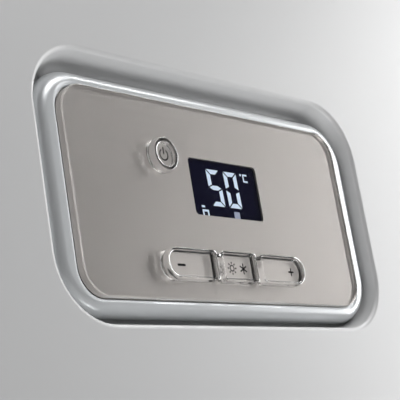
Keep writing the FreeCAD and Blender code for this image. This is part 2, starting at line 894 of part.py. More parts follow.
def key_with_flange(name, cap, flange, spot):
    """A key: its cap, the flange behind the plate and the stem that reaches its switch."""
    stem = rod(f"{name}_stem", spot, "Y", s.key_stem_length, s.key_stem_radius)
    piece(f"{name}_button", fuse(f"{name}_key", cap, flange, stem))


def row_keys():
    """The minus, mode and plus keys, which together make one pill."""
    flange_y = key_flange_span()
    for key, x in key_spans().items():
        cap = key_prism(f"{key}_cap", x, (key_top(), flange_y[1]), as_size(0))
        cap = soften(
            f"{key}_cap_round", cap, s.key_edge_radius, lambda e: lies_in_plane(e, "Y", key_top().value)
        )
        flange = key_prism(f"{key}_flange", x, flange_y, s.key_flange)
        spot = ((x[0] + x[1]) / 2, flange_y[1], panel_z - s.key_row_drop)
        key_with_flange(key, cap, flange, spot)


def power_key():
    """The round power key."""
    x, z = -s.power_key_x, panel_z + s.power_key_z
    flange_y = key_flange_span()
    cap = rod("power_cap", (x, key_top(), z), "Y", flange_y[1] - key_top(), s.power_key_radius)
    cap = soften("power_cap_round", cap, s.key_edge_radius, lambda e: lies_in_plane(e, "Y", key_top().value))
    flange_length = flange_y[1] - flange_y[0]
    flange = rod("power_flange", (x, flange_y[0], z), "Y", flange_length, s.power_key_radius + s.key_flange)
    key_with_flange("power", cap, flange, (x, flange_y[1], z))


def board_front():
    """The y of the board's front face: the stems, their travel and the switches lie before it."""
    stem_end = key_flange_span()[1] + s.key_stem_length
    return stem_end + s.key_travel + s.seat_gap + s.switch_button + s.switch_body


def switch_places():
    middle = [((x[0] + x[1]) / 2, panel_z - s.key_row_drop) for x in key_spans().values()]
    return [*middle, (-s.power_key_x, panel_z + s.power_key_z)]


def display_module():
    """Glass display on the board, just behind the window of the plate."""
    half_w, half_h = s.display_width / 2, s.display_height / 2
    x, z = s.window_shift_x, panel_z + s.window_shift_z
    y = (plate_back + s.seat_gap, board_front())
    piece("display_module", block("display_block", (x - half_w, x + half_w), y, (z - half_h, z + half_h)))


def control_board():
    """Printed circuit board that carries the display and the switches."""
    size = (s.board_width, s.board_height, s.bezel_opening_corner)
    board = rounded_plate("board", (0, panel_z), board_front(), board_front() + s.board_thickness, *size)
    piece("control_board", board)


def tact_switches():
    """One small push switch on the board behind each key."""
    switches = []
    half = s.switch_width / 2
    for number, (x, z) in enumerate(switch_places()):
        y = board_front() - s.switch_body
        body = block(f"switch_body_{number}", (x - half, x + half), (y, board_front()), (z - half, z + half))
        nub = rod(f"switch_nub_{number}", (x, y, z), "-Y", s.switch_button, s.switch_button_radius)
        switches.append(fuse(f"switch_{number}", body, nub))
    piece("tact_switches", group("switch_group", *switches))


def control_housing():
    """Plastic box behind the recess floor. Its flange is screwed to the bezel through the cover."""
    face = floor_y + s.sheet
    back = face + s.housing_depth
    flange = rounded_plate(
        "housing_flange_plate", (0, panel_z), face, face + s.housing_flange,
        s.housing_flange_width, s.housing_flange_height, s.bezel_corner,
    )
    size = (s.housing_width, s.housing_height, s.housing_corner)
    outside = rounded_plate("housing_outside", (0, panel_z), face, back, *size)
    inner = (s.bezel_opening_width, s.bezel_opening_height, s.bezel_opening_corner)
    inside = rounded_plate("housing_inside", (0, panel_z), face - s.overrun, back - s.housing_wall, *inner)
    exit_z = panel_z - s.housing_height / 2 - s.overrun
    way = rod(
        "housing_cable_way", (0, back - s.housing_depth / 2, exit_z),
        "Z", s.housing_height / 2, s.cable_exit_radius
    )
    shell = cut("housing_shell", fuse("housing_solid", flange, outside), inside, way)
    posts = []
    board_back = board_front() + s.board_thickness
    for number, (i, k) in enumerate([(-1, -1), (-1, 1), (1, -1), (1, 1)]):
        x = (s.board_width / 2 - s.housing_post_inset) * i
        z = panel_z + (s.board_height / 2 - s.housing_post_inset) * k
        length = back - s.housing_wall - board_back
        posts.append(rod(f"housing_post_{number}", (x, board_back, z), "Y", length, s.housing_post_radius))
    holes = [
        rod(f"housing_hole_{n}", (x, face - s.overrun, z), "Y", s.housing_flange + s.overrun * 2,
            s.housing_screw_radius + s.hole_clearance)
        for n, (x, z) in enumerate(panel_screw_places())
    ]
    piece("control_housing", fuse("housing_posted", cut("housing_drilled", shell, *holes), *posts))


def housing_screws():
    """Four screws through the housing's flange and the cover into the bezel."""
    screws = []
    start = floor_y + s.sheet + s.housing_flange
    for number, (x, z) in enumerate(panel_screw_places()):
        head = rod(
            f"housing_screw_head_{number}", (x, start, z), "Y",
            s.housing_screw_head, s.housing_screw_head_radius
        )
        length = s.housing_flange + s.sheet + s.housing_screw_bite - s.seat_gap
        shank = rod(f"housing_screw_shank_{number}", (x, start, z), "-Y", length, s.housing_screw_radius)
        screws.append(fuse(f"housing_screw_{number}", head, shank))
    piece("housing_screws", group("housing_screw_group", *screws))


def riser_places():
    """Where the flow, return and gas pipes pass the chamber floor."""
    return [
        ("flow", -s.riser_x, chamber_mid_y, s.pipe_radius),
        ("return", s.riser_x, chamber_mid_y, s.pipe_radius),
        ("gas", as_size(0), manifold_y(), s.pipe_radius),
    ]


def sealed_chamber():
    """Room-sealed steel box with a flange around its open front, and ways for the flue and the pipes."""
    wall = s.chamber_sheet
    low = chamber_floor - wall
    across, upright = (-chamber_side, chamber_side), (low, chamber_top)
    outside = block("chamber_outside", across, (chamber_mouth, chamber_back), upright)
    inner = chamber_side - wall
    depth = (chamber_mouth + wall, chamber_back - wall)
    inside = block("chamber_inside", (-inner, inner), depth, (chamber_floor, chamber_top - wall))
    mouth = chamber_side - s.chamber_flange
    opening = block(
        "chamber_opening",
        (-mouth, mouth),
        (chamber_mouth - s.overrun, chamber_mouth + s.overrun),
        (low + s.chamber_flange, chamber_top - s.chamber_flange),
    )
    bore = s.air_collar_radius - s.air_collar_wall
    way = rod("chamber_way", (0, chamber_mid_y, chamber_top - s.overrun * 2), "Z", s.overrun * 4, bore)
    holes = [
        rod(
            f"chamber_{name}_hole", (x, y, low - s.overrun), "Z",
            s.overrun * 2 + wall, radius + s.hole_clearance
        )
        for name, x, y, radius in riser_places()
    ]
    threads = [
        rod(
            f"chamber_thread_{n}", (x, chamber_mouth - s.overrun, z),
            "Y", s.overrun * 2, s.chamber_screw_radius
        )
        for n, (x, z) in enumerate(chamber_screw_places())
    ]
    piece("sealed_chamber", cut("chamber_cut", outside, inside, opening, way, *holes, *threads))


def chamber_screw_places():
    x = chamber_side - s.chamber_screw_inset
    low, high = chamber_floor + s.chamber_screw_inset, chamber_top - s.chamber_screw_inset
    return [(x * i, z) for i in (-1, 0, 1) for z in (low, high)]


def chamber_cover():
    """Flat front sheet of the chamber with a round sight opening."""
    spread = chamber_side
    plate = block(
        "chamber_cover_sheet", (-spread, spread), (chamber_front, chamber_mouth),
        (chamber_floor - s.chamber_sheet, chamber_top),
    )
    y, through = chamber_front - s.overrun, s.overrun * 2 + s.chamber_sheet
    sight = rod("sight_hole", (0, y, sight_z()), "Y", through, s.sight_radius)
    holes = [
        rod(f"chamber_cover_hole_{n}", (x, y, z), "Y", through, s.chamber_screw_radius + s.hole_clearance)
        for n, (x, z) in enumerate(chamber_screw_places())
    ]
    piece("chamber_cover", cut("chamber_cover_cut", plate, sight, *holes))


def sight_z():
    """Height of the sight glass, in the middle of the flame."""
    return chamber_floor + s.tray_height + s.firebox_height / 2


def sight_glass():
    """Round glass with a lip in front of the chamber cover."""
    y = chamber_front - s.sight_thickness
    lip = rod("sight_lip_disc", (0, y, sight_z()), "Y", s.sight_thickness, s.sight_radius + s.sight_lip)
    plug = rod(
        "sight_plug", (0, y, sight_z()), "Y",
        s.sight_thickness + s.chamber_sheet, s.sight_radius - s.seat_gap
    )
    piece("sight_glass", fuse("sight_fused", lip, plug))


def chamber_screws():
    """Screws that close the chamber cover."""
    screws = []
    for number, (x, z) in enumerate(chamber_screw_places()):
        head = rod(
            f"chamber_screw_head_{number}", (x, chamber_front, z),
            "-Y", s.chamber_screw_head, s.chamber_screw_head_radius
        )
        shank = rod(
            f"chamber_screw_shank_{number}", (x, chamber_front, z),
            "Y", s.chamber_screw_length, s.chamber_screw_radius
        )
        screws.append(fuse(f"chamber_screw_{number}", head, shank))
    piece("chamber_screws", group("chamber_screw_group", *screws))


def firebox_z():
    """Bottom of the combustion chamber, on top of the burner tray."""
    return chamber_floor + s.tray_height


def firebox_y():
    """Front and back of the combustion chamber."""
    return chamber_mid_y - s.firebox_depth / 2, chamber_mid_y + s.firebox_depth / 2


def electrode_places():
    z = firebox_z() + s.electrode_rise
    return [(s.electrode_spacing * share, z) for share in (-1, 0, 1)]


def combustion_chamber():
    """Steel sleeve around the flame, open above and below."""
    half, (y0, y1), z = s.firebox_width / 2, firebox_y(), firebox_z()
    wall = s.chamber_sheet
    outside = block("firebox_outside", (-half, half), (y0, y1), (z, z + s.firebox_height))
    inside = block(
        "firebox_inside", (-half + wall, half - wall), (y0 + wall, y1 - wall),
        (z - s.overrun, z + s.firebox_height + s.overrun),
    )
    holes = [
        rod(
            f"firebox_hole_{n}", (x, y0 - s.overrun, ez), "Y",
            s.overrun * 2, s.electrode_radius + s.hole_clearance
        )
        for n, (x, ez) in enumerate(electrode_places())
    ]
    piece("combustion_chamber", cut("firebox_cut", outside, inside, *holes))


def insulation_boards():
    """Ceramic fibre boards that line the combustion chamber."""
    wall, thick = s.chamber_sheet, s.insulation
    half, (y0, y1) = s.firebox_width / 2 - wall, firebox_y()
    y0, y1 = y0 + wall, y1 - wall
    z = (firebox_z() + s.seat_gap, firebox_z() + s.firebox_height - s.seat_gap)
    back = block("board_back", (-half, half), (y1 - thick, y1), z)
    face = block("board_face", (-half, half), (y0, y0 + thick), z)
    holes = [
        rod(
            f"board_hole_{n}", (x, y0 - s.overrun, ez), "Y",
            thick + s.overrun * 2, s.electrode_radius + s.hole_clearance
        )
        for n, (x, ez) in enumerate(electrode_places())
    ]
    ends = [
        block(f"board_end_{n}", x, (y0 + thick, y1 - thick), z)
        for n, x in enumerate([(-half, -half + thick), (half - thick, half)])
    ]
    piece("insulation_boards", group("board_group", back, cut("board_face_cut", face, *holes), *ends))


def burner_tray():
    """Frame under the combustion chamber that holds the burner blades."""
    half, (y0, y1) = s.firebox_width / 2, firebox_y()
    y_blade = (chamber_mid_y - s.blade_length / 2, chamber_mid_y + s.blade_length / 2)
    z = (chamber_floor, firebox_z())
    outside = block("tray_outside", (-half, half), (y0, y1), z)
    wall = s.chamber_sheet
    inside = block(
        "tray_inside", (-half + wall, half - wall),
        (y0 + wall, y1 - wall), (z[0] - s.overrun, z[1] + s.overrun)
    )
    ring = cut("tray_ring", outside, inside)
    low = z[0] + s.tray_height - s.blade_height - s.tray_rail
    rails = [
        block(f"tray_rail_{n}", (-half + wall, half - wall), y, (low, low + s.tray_rail))
        for n, y in enumerate([(y0 + wall, y_blade[0] + s.tray_rail), (y_blade[1] - s.tray_rail, y1 - wall)])
    ]
    window = block(
        "tray_window", (-s.manifold_length / 2, s.manifold_length / 2),
        (y0 - s.overrun, y0 + s.overrun), (z[0], low)
    )
    piece("burner_tray", fuse("tray_fused", cut("tray_open", ring, window), *rails))


def burner_blades():
    """Row of flat burner blades with round tops."""
    blades = []
    y = (chamber_mid_y - s.blade_length / 2, chamber_mid_y + s.blade_length / 2)
    z0 = firebox_z() - s.blade_height
    z1 = firebox_z() - s.blade_width / 2
    for number in range(int(s.blade_count.value)):
        x = s.blade_pitch * (number - (s.blade_count.value - 1) / 2)
        half = s.blade_width / 2
        stem = block(f"blade_stem_{number}", (x - half, x + half), y, (z0, z1))
        crown = rod(f"blade_crown_{number}", (x, y[0], z1), "Y", s.blade_length, half)
        blades.append(fuse(f"blade_{number}", stem, crown))
    piece("burner_blades", group("blade_group", *blades))


def manifold_y():
    """Centre of the gas manifold, which stands before the burner tray."""
    return firebox_y()[0] + s.manifold_side / 2 + s.chamber_sheet + s.manifold_gap


def manifold_z():
    """The manifold lies on the chamber floor, under the tray's rails."""
    return chamber_floor, chamber_floor + s.manifold_side


def gas_manifold():
    """Square gas bar with one injector for each blade."""
    half, y, (z0, z1) = s.manifold_length / 2, manifold_y(), manifold_z()
    depth = s.manifold_side / 2
    bar = block("manifold_bar", (-half, half), (y - depth, y + depth), (z0, z1))
    injectors = []
    for number in range(int(s.blade_count.value)):
        x = s.blade_pitch * (number - (s.blade_count.value - 1) / 2)
        spot = (x, y + depth, (z0 + z1) / 2)
        injectors.append(
            taper(
                f"injector_{number}", spot, "Y", s.injector_length, s.injector_radius, s.injector_tip_radius
            )
        )
    piece("gas_manifold", fuse("manifold_fused", bar, *injectors))


def ignition_electrodes():
    """Two spark electrodes and the flame sensor: ceramic sleeves with wire tips."""
    rods = []
    start = firebox_y()[0] - s.seat_gap * 2
    for number, (x, z) in enumerate(electrode_places()):
        sleeve = rod(f"electrode_sleeve_{number}", (x, start, z), "Y", s.electrode_length, s.electrode_radius)
        wire = rod(
            f"electrode_wire_{number}", (x, start + s.electrode_length, z), "Y", s.electrode_wire_length,
            s.electrode_wire_radius,
        )
        rods.append(fuse(f"electrode_{number}", sleeve, wire))
    piece("ignition_electrodes", group("electrode_group", *rods))


def exchanger_z():
    """Bottom of the heat exchanger, on the combustion chamber."""
    return firebox_z() + s.firebox_height


def tube_lines():
    """The y and z of the exchanger's tubes, in two rows of two."""
    z = exchanger_z() + s.fin_height / 2
    across, rise = s.tube_spacing / 2, s.tube_row_spacing / 2
    return [(chamber_mid_y + across * i, z + rise * k) for i in (-1, 1) for k in (-1, 1)]


def fin_span():
    """Half of the width that the fins take up."""
    return s.fin_pitch * ((s.fin_count.value - 1) / 2)


def heat_exchanger_fins():
    """Thin copper fins on the tubes."""
    fins = []
    y = (chamber_mid_y - s.fin_depth / 2, chamber_mid_y + s.fin_depth / 2)
    z = (exchanger_z(), exchanger_z() + s.fin_height)
    for number in range(int(s.fin_count.value)):
        x = s.fin_pitch * (number - (s.fin_count.value - 1) / 2)
        half = s.fin_thickness / 2
        fin = block(f"fin_{number}", (x - half, x + half), y, z)
        holes = [
            rod(f"fin_{number}_hole_{n}", (x - s.overrun, ty, tz), "X", s.overrun * 2, s.tube_radius)
            for n, (ty, tz) in enumerate(tube_lines())
        ]
        fins.append(cut(f"fin_{number}_cut", fin, *holes))
    piece("heat_exchanger_fins", group("fin_group", *fins))


def heat_exchanger_tubes():
    """Copper tubes between two header boxes, with a stub to the flow and return pipes."""
    inner = fin_span() + s.tube_end
    tubes = [
        rod(f"exchanger_tube_{n}", (-inner, y, z), "X", inner * 2, s.tube_radius)
        for n, (y, z) in enumerate(tube_lines())
    ]
    y = (chamber_mid_y - s.fin_depth / 2, chamber_mid_y + s.fin_depth / 2)
    z = (exchanger_z(), exchanger_z() + s.fin_height)
    headers = [
        block(f"header_{n}", x, y, z)
        for n, x in enumerate([(-inner - s.header_width, -inner), (inner, inner + s.header_width)])
    ]
    piece("heat_exchanger_tubes", fuse("exchanger_fused", *tubes, *headers))


def hood_z():
    return exchanger_z() + s.fin_height


def fan_centre():
    """Centre of the fan scroll: beside the flue axis, above the hood."""
    return -s.fan_offset, hood_z() + s.hood_height + s.scroll_rise + s.scroll_radius


def riser_y():
    """Front and back of the hood's riser, along the chamber's back wall."""
    back = chamber_back - s.chamber_sheet - s.seat_gap
    return back - s.riser_depth, back


def flue_hood():
    """Sheet hood over the heat exchanger with a flat riser that feeds the fan from behind."""
    wall, z = s.hood_wall, hood_z()
    half = fin_span() + s.tube_end + s.header_width
    y0 = chamber_mid_y - s.fin_depth / 2
    ry0, ry1 = riser_y()
    x_fan, z_fan = fan_centre()
    rx = (x_fan - s.scroll_radius, x_fan + s.scroll_radius)
    ztop = z_fan + s.scroll_radius
    roof = block("hood_roof", (-half, half), (y0, ry1), (z, z + s.hood_height))
    riser = block("hood_riser", rx, (ry0, ry1), (z, ztop))
    inside = block(
        "hood_inside", (-half + wall, half - wall), (y0 + wall, ry1 - wall),
        (z - s.overrun, z + s.hood_height - wall)
    )
    riser_in = block("riser_inside", (rx[0] + wall, rx[1] - wall), (ry0 + wall, ry1 - wall), (z, ztop - wall))
    mouth = rod("riser_mouth", (x_fan, ry0 - s.overrun, z_fan), "Y", s.overrun * 2, s.fan_inlet_radius)
    piece("flue_hood", cut("hood_cut", fuse("hood_fused", roof, riser), inside, riser_in, mouth))


def scroll_y():
    """Front and back of the fan scroll."""
    back = riser_y()[0]
    return back - s.scroll_depth, back


def fan_housing():
    """Sheet scroll with an upward outlet that ends in a round spigot under the flue."""
    wall, (x, z), (y0, y1) = s.scroll_wall, fan_centre(), scroll_y()
    drum = rod("scroll_drum", (x, y0, z), "Y", s.scroll_depth, s.scroll_radius)
    duct_x = (-s.duct_width / 2, s.duct_width / 2)
    duct_top = z + s.scroll_radius + s.scroll_rise
    duct = block("scroll_duct", duct_x, (y0, y1), (z, duct_top))
    drum_in = rod("scroll_hollow", (x, y0 + wall, z), "Y", s.scroll_depth - wall * 2, s.scroll_radius - wall)
    duct_in = block(
        "duct_hollow", (duct_x[0] + wall, duct_x[1] - wall), (y0 + wall, y1 - wall), (z, duct_top - wall)
    )
    inlet = rod("scroll_inlet", (x, y1 - s.overrun, z), "Y", s.overrun * 2, s.fan_inlet_radius)
    shaft_way = rod(
        "scroll_shaft_way", (x, y0 - s.overrun, z), "Y", s.overrun * 2, s.shaft_radius + s.hole_clearance
    )
    bore = flue_tube_radius() + s.spigot_play
    neck_top = top - s.flue_drop + s.spigot_lap
    length = neck_top - duct_top + s.scroll_wall
    neck_z = duct_top - s.scroll_wall
    neck = rod("spigot_outside", (0, chamber_mid_y, neck_z), "Z", length, bore + wall)
    neck_in = rod("spigot_bore", (0, chamber_mid_y, neck_z - s.overrun), "Z", length + s.overrun * 2, bore)
    saddle_half = bore + wall
    saddle = block(
        "spigot_saddle", (-saddle_half, saddle_half),
        (chamber_mid_y - saddle_half, chamber_mid_y + saddle_half),
        (duct_top - wall, duct_top),
    )
    solid = fuse("scroll_solid", drum, duct, neck, saddle)
    piece("fan_housing", cut("scroll_cut", solid, drum_in, duct_in, neck_in, inlet, shaft_way))


def flue_tube_radius():
    """Outer radius of the flue socket."""
    return s.flue_bore_radius + s.flue_wall


def wheel(name, spot, radius, inner_radius, depth, disc, blade, count, shaft_length):
    """A bladed wheel about Y: a front disc with a hub, a ring of blades behind it and a shaft before it."""
    x, y, z = spot
    plate = rod(f"{name}_disc", (x, y, z), "Y", disc, radius)
    hub = rod(f"{name}_hub", (x, y, z), "Y", depth / 2, s.hub_radius)
    shaft = rod(f"{name}_shaft", (x, y, z), "-Y", shaft_length, s.shaft_radius)
    vanes = []
    centre = FreeCAD.Placement(vector(x.value, y.value, z.value), NO_TURN)
    for number in range(int(count.value)):
        vane = doc.addObject("Part::Box", f"{name}_vane_{number}")
        bind(vane, "Length", radius - inner_radius)
        bind(vane, "Width", depth)
        bind(vane, "Height", blade)
        turn = FreeCAD.Rotation(vector(0, 1, 0), FULL_TURN * number / count.value)
        corner = FreeCAD.Placement(vector(inner_radius.value, 0, -blade.value / 2), NO_TURN)
        vane.Placement = centre.multiply(FreeCAD.Placement(vector(0, 0, 0), turn)).multiply(corner)
        vanes.append(vane)
    rim = cut(
        f"{name}_rim",
        rod(f"{name}_rim_outside", (x, y + depth - disc, z), "Y", disc, radius),
        rod(f"{name}_rim_inside", (x, y + depth - disc, z), "Y", disc, inner_radius),
    )
    return fuse(f"{name}_wheel", plate, hub, shaft, rim, *vanes)


def fan_impeller():
    """Centrifugal fan wheel on its motor shaft."""
    (x, z), (y0, y1) = fan_centre(), scroll_y()
    y = (y0 + y1) / 2 - s.impeller_depth / 2
    shaft = y - y0 + s.motor_length / 2
    sizes = (s.impeller_radius, s.impeller_inner_radius, s.impeller_depth, s.impeller_disc)
    piece("fan_impeller", wheel("fan", (x, y, z), *sizes, s.impeller_blade, s.impeller_blades, shaft))


def fan_motor():
    """Round motor on the front of the scroll, with the bearing bore of the fan shaft."""
    (x, z), (y0, _) = fan_centre(), scroll_y()
    can = rod("motor_can", (x, y0, z), "-Y", s.motor_length, s.motor_radius)
    cap = rod("motor_cap_disc", (x, y0 - s.motor_length, z), "-Y", s.motor_cap, s.motor_cap_radius)
    bore = rod("motor_bore", (x, y0, z), "-Y", s.motor_length / 2 + s.seat_gap, s.shaft_radius + s.shaft_play)
    piece("fan_motor", cut("motor_cut", fuse("motor_fused", can, cap), bore))


def flue_turret():
    """Cast turret on the top panel: a flange and the flue socket, joined by three spokes."""
    y = chamber_mid_y
    flange = rod("turret_flange_disc", (0, y, top), "Z", s.turret_flange, s.turret_flange_radius)
    bore = s.air_collar_radius - s.air_collar_wall
    flange_in = rod("turret_flange_bore", (0, y, top - s.overrun), "Z", s.turret_flange + s.overrun * 2, bore)
    ring = cut("turret_ring", flange, flange_in)
    low = top - s.flue_drop
    socket = rod("socket_outside", (0, y, low), "Z", s.flue_drop + s.flue_rise, flue_tube_radius())
    spokes = []
    half = s.turret_spoke / 2
    reach = bore + s.air_collar_wall
    for number, (i, k) in enumerate([(1, 0), (-1, 0), (0, 1)]):
        x_span = (-half, half) if i == 0 else ((0, reach) if i > 0 else (-reach, 0))
        y_span = (y - half, y + half) if k == 0 else (y, y + reach)
        spokes.append(block(f"turret_spoke_{number}", x_span, y_span, (top, top + s.turret_flange)))
    solid = fuse("turret_fused", ring, socket, *spokes)
    high = top + s.flue_rise - s.flue_bore_length
    bore_cut = rod("socket_bore", (0, y, high), "Z", s.flue_bore_length + s.overrun, s.flue_bore_radius)
    seat_cut = rod(
        "socket_seat", (0, y, low - s.overrun), "Z", high - low + s.overrun * 2, s.flue_seat_radius
    )
    screws = [
        rod(
            f"turret_hole_{n}", (s.turret_screw_circle * i, y + s.turret_screw_circle * k, top - s.overrun),
            "Z", s.turret_flange + s.overrun * 2, s.turret_screw_radius
        )
        for n, (i, k) in enumerate([(1, 0), (-1, 0), (0, 1), (0, -1)])
    ]
    piece("flue_turret", cut("turret_cut", solid, bore_cut, seat_cut, *screws))


def air_collar():
    """Round collar on the turret's flange that takes the outer air pipe."""
    low = top + s.turret_flange
    bore = s.air_collar_radius - s.air_collar_wall
    height = s.flue_rise - s.turret_flange
    piece("air_collar", tube("air_collar", (0, chamber_mid_y, low), "Z", height, s.air_collar_radius, bore))


def air_pressure_switch():
    """Round diaphragm switch on the chamber's back wall that proves the fan's draught."""
    back = chamber_back - s.chamber_sheet
    z = chamber_top - s.air_switch_drop
    can = rod("air_switch_can", (s.air_switch_x, back, z), "-Y", s.air_switch_depth, s.air_switch_radius)
    nipple_z = z - s.air_switch_radius - s.air_switch_nipple / 2
    nipple = rod(
        "air_switch_tube", (s.air_switch_x, back - s.air_switch_depth / 2, nipple_z),
        "Z", s.air_switch_nipple,
        s.air_switch_nipple_radius,
    )
    piece("air_pressure_switch", fuse("air_switch_fused", can, nipple))


def vessel_drum(name, gap):
    """A drum with round edges, set in from the vessel's outside by the gap."""
    z = top - s.vessel_drop
    length, radius = s.vessel_depth - gap * 2, s.vessel_radius - gap
    drum = rod(f"{name}_drum", (0, -s.sheet - gap, z), "-Y", length, radius)
    flat = s.sheet.value
    return soften(
        f"{name}_dished", drum, s.vessel_edge_radius - gap, lambda edge: edge.BoundBox.YLength < flat
    )


def expansion_vessel():
    """Hollow flat vessel behind the chamber: two dished halves joined by a rolled seam."""
    z = top - s.vessel_drop
    seam_y = -s.sheet - s.vessel_depth / 2 + s.vessel_seam / 2
    seam = rod("vessel_seam_ring", (0, seam_y, z), "-Y", s.vessel_seam, s.vessel_seam_radius)
    solid = fuse("vessel_fused", vessel_drum("vessel", as_size(0)), seam)
    piece("expansion_vessel", cut("vessel_cut", solid, vessel_drum("vessel_hollow", s.vessel_wall)))


def block_z():
    """Bottom and top of the two hydraulic blocks."""
    low = bottom + s.sheet + s.block_rise
    return low, low + s.block_height


def header_outer():
    """Outer face of the heat exchanger's headers."""
    return fin_span() + s.tube_end + s.header_width


def pump_centre():
    """Centre of the pump in x and z, above the return block."""
    return s.tail_spacing, block_z()[1] + s.pump_rise


def risers():
    """The flow and return pipes between the heat exchanger and the hydraulic set."""
    z = exchanger_z() + s.fin_height / 2
    start = [(-header_outer(), chamber_mid_y, z), (-s.riser_x, chamber_mid_y, z)]
    flow = [
        *start,
        (-s.riser_x, chamber_mid_y, riser_turn_z()),
        (-s.riser_x, -s.tail_y, riser_turn_z()),
        (-s.riser_x, -s.tail_y, block_z()[1]),
    ]
    piece("flow_pipe", pipe("flow", flow, s.pipe_radius, s.pipe_bend, s.pipe_wall))
    branch = pump_branch_x()
    back = [
        (header_outer(), chamber_mid_y, z), (s.riser_x, chamber_mid_y, z),
        (s.riser_x, chamber_mid_y, riser_turn_z()),
        (branch, -s.tail_y, riser_turn_z()), (branch, -s.tail_y, pump_centre()[1] + s.pump_radius),
    ]
    piece("return_pipe", pipe("return", back, s.pipe_radius, s.pipe_bend, s.pipe_wall))


def pump_branch_x():
    """The pump's delivery neck stands straight under the return pipe."""
    return s.riser_x


def riser_turn_z():
    """Level under the chamber where the risers step back: half way down to the pump."""
    return (chamber_floor + pump_centre()[1] + s.pump_radius) / 2


def hydraulic_block(name, x):
    """Cast brass block with a round bore port towards the plate heat exchanger."""
    half, (z0, z1) = s.block_width / 2, block_z()
    y = (-s.tail_y - s.block_depth / 2, -s.tail_y + s.block_depth / 2)
    body = block(f"{name}_solid", (x - half, x + half), y, (z0, z1))

    def upright(edge):
        return edge.BoundBox.ZLength > s.block_height.value / 2

    body = soften(f"{name}_round", body, s.block_edge_radius, upright)
    port_y = y[1]
    port = rod(
        f"{name}_port", (x, port_y, (z0 + z1) / 2), "Y", s.plate_port_length, s.block_port_radius
    )
    return fuse(f"{name}_fused", body, port)


def flow_block():
    """Left hydraulic block with the diverter valve's bore in its top."""
    body = hydraulic_block("flow_block", -s.tail_spacing)
    z1 = block_z()[1]
    x, y = -s.tail_spacing, -s.tail_y
    bore = rod(
        "diverter_bore", (x, y, z1 - s.spindle_depth), "Z",
        s.spindle_depth + s.overrun, s.spindle_radius + s.shaft_play
    )
    piece("flow_block", cut("flow_block_cut", body, bore))


def return_block():
    """Right hydraulic block under the pump. Its front face carries the relief valve."""
    body = hydraulic_block("return_block", s.tail_spacing)
    piece("return_block", body)


def diverter_motor():
    """Actuator that stands on two posts above the flow block and lifts the spindle."""
    x, y, z1 = -s.tail_spacing, -s.tail_y, block_z()[1]
    half, low = s.diverter_motor_width / 2, z1 + s.diverter_motor_rise
    case = block(
        "diverter_case", (x - half, x + half), (y - half, y + half), (low, low + s.diverter_motor_height)
    )
    pocket = rod(
        "diverter_pocket", (x, y, low - s.overrun), "Z", s.spindle_head + s.spindle_travel + s.overrun * 2,
        s.spindle_head_radius + s.hole_clearance,
    )
    posts = [
        rod(
            f"diverter_post_{n}", (x, y + s.diverter_post_spacing / 2 * sign, z1),
            "Z", s.diverter_motor_rise, s.diverter_post_radius
        )
        for n, sign in enumerate((-1, 1))
    ]
    piece("diverter_motor", fuse("diverter_fused", cut("diverter_case_cut", case, pocket), *posts))


def diverter_spindle():
    """Valve spindle that slides between the flow block and the actuator."""
    x, y, z1 = -s.tail_spacing, -s.tail_y, block_z()[1]
    low = z1 - s.spindle_depth + s.seat_gap
    head_z = z1 + s.diverter_motor_rise
    stem = rod("spindle_stem", (x, y, low), "Z", head_z - low, s.spindle_radius)
    head = rod(
        "spindle_head_disc", (x, y, head_z - s.spindle_head / 2), "Z", s.spindle_head, s.spindle_head_radius
    )
    piece("diverter_spindle", fuse("spindle_fused", stem, head))


def pump_y():
    """Front and back of the pump's volute."""
    return -s.tail_y - s.pump_depth / 2, -s.tail_y + s.pump_depth / 2


def pump_body():
    """Cast volute with a suction neck on the return block and a delivery neck under the return pipe."""
    (x, z), (y0, y1) = pump_centre(), pump_y()
    drum = rod("pump_drum", (x, y0, z), "Y", s.pump_depth, s.pump_radius)
    neck = rod("pump_suction", (x, -s.tail_y, block_z()[1]), "Z", z - block_z()[1], s.pump_neck_radius)
    branch = rod("pump_delivery", (pump_branch_x(), -s.tail_y, z), "Z", s.pump_radius, s.pump_neck_radius)
    hollow = rod(
        "pump_hollow", (x, y0 + s.pump_wall, z), "Y",
        s.pump_depth - s.pump_wall * 2, s.pump_radius - s.pump_wall
    )
    way = rod(
        "pump_shaft_way", (x, y0 - s.overrun, z), "Y",
        s.pump_wall + s.overrun * 2, s.shaft_radius + s.shaft_play
    )
    piece("pump_body", cut("pump_cut", fuse("pump_fused", drum, neck, branch), hollow, way))


def pump_head():
    """Motor can of the pump, with the bearing bore of its shaft."""
    (x, z), (y0, _) = pump_centre(), pump_y()
    can = rod("pump_can", (x, y0, z), "-Y", s.pump_head_length, s.pump_head_radius)

    def far_edge(edge):
        return lies_in_plane(edge, "Y", y0.value - s.pump_head_length.value)

    can = soften("pump_can_round", can, s.block_edge_radius, far_edge)
    bore = rod(
        "pump_bore", (x, y0, z), "-Y", s.pump_head_length / 2 + s.seat_gap, s.shaft_radius + s.shaft_play
    )
    piece("pump_head", cut("pump_head_cut", can, bore))


def pump_impeller():
    """Pump wheel on its shaft."""
    (x, z), (y0, y1) = pump_centre(), pump_y()
    y = (y0 + y1) / 2 - s.pump_impeller_depth / 2
    shaft = y - y0 + s.pump_head_length / 2
    sizes = (s.pump_impeller_radius, s.hub_radius, s.pump_impeller_depth, s.pump_impeller_disc)
    piece("pump_impeller", wheel("pump", (x, y, z), *sizes, s.pump_vane, s.pump_vanes, shaft))


def plate_stack():
    """Front and back, and bottom and top, of the domestic water heat exchanger."""
    back = -s.sheet - s.plate_stack_wall_gap
    low = block_z()[0]
    return (back - s.plate_stack_depth, back), (low, low + s.plate_stack_height)


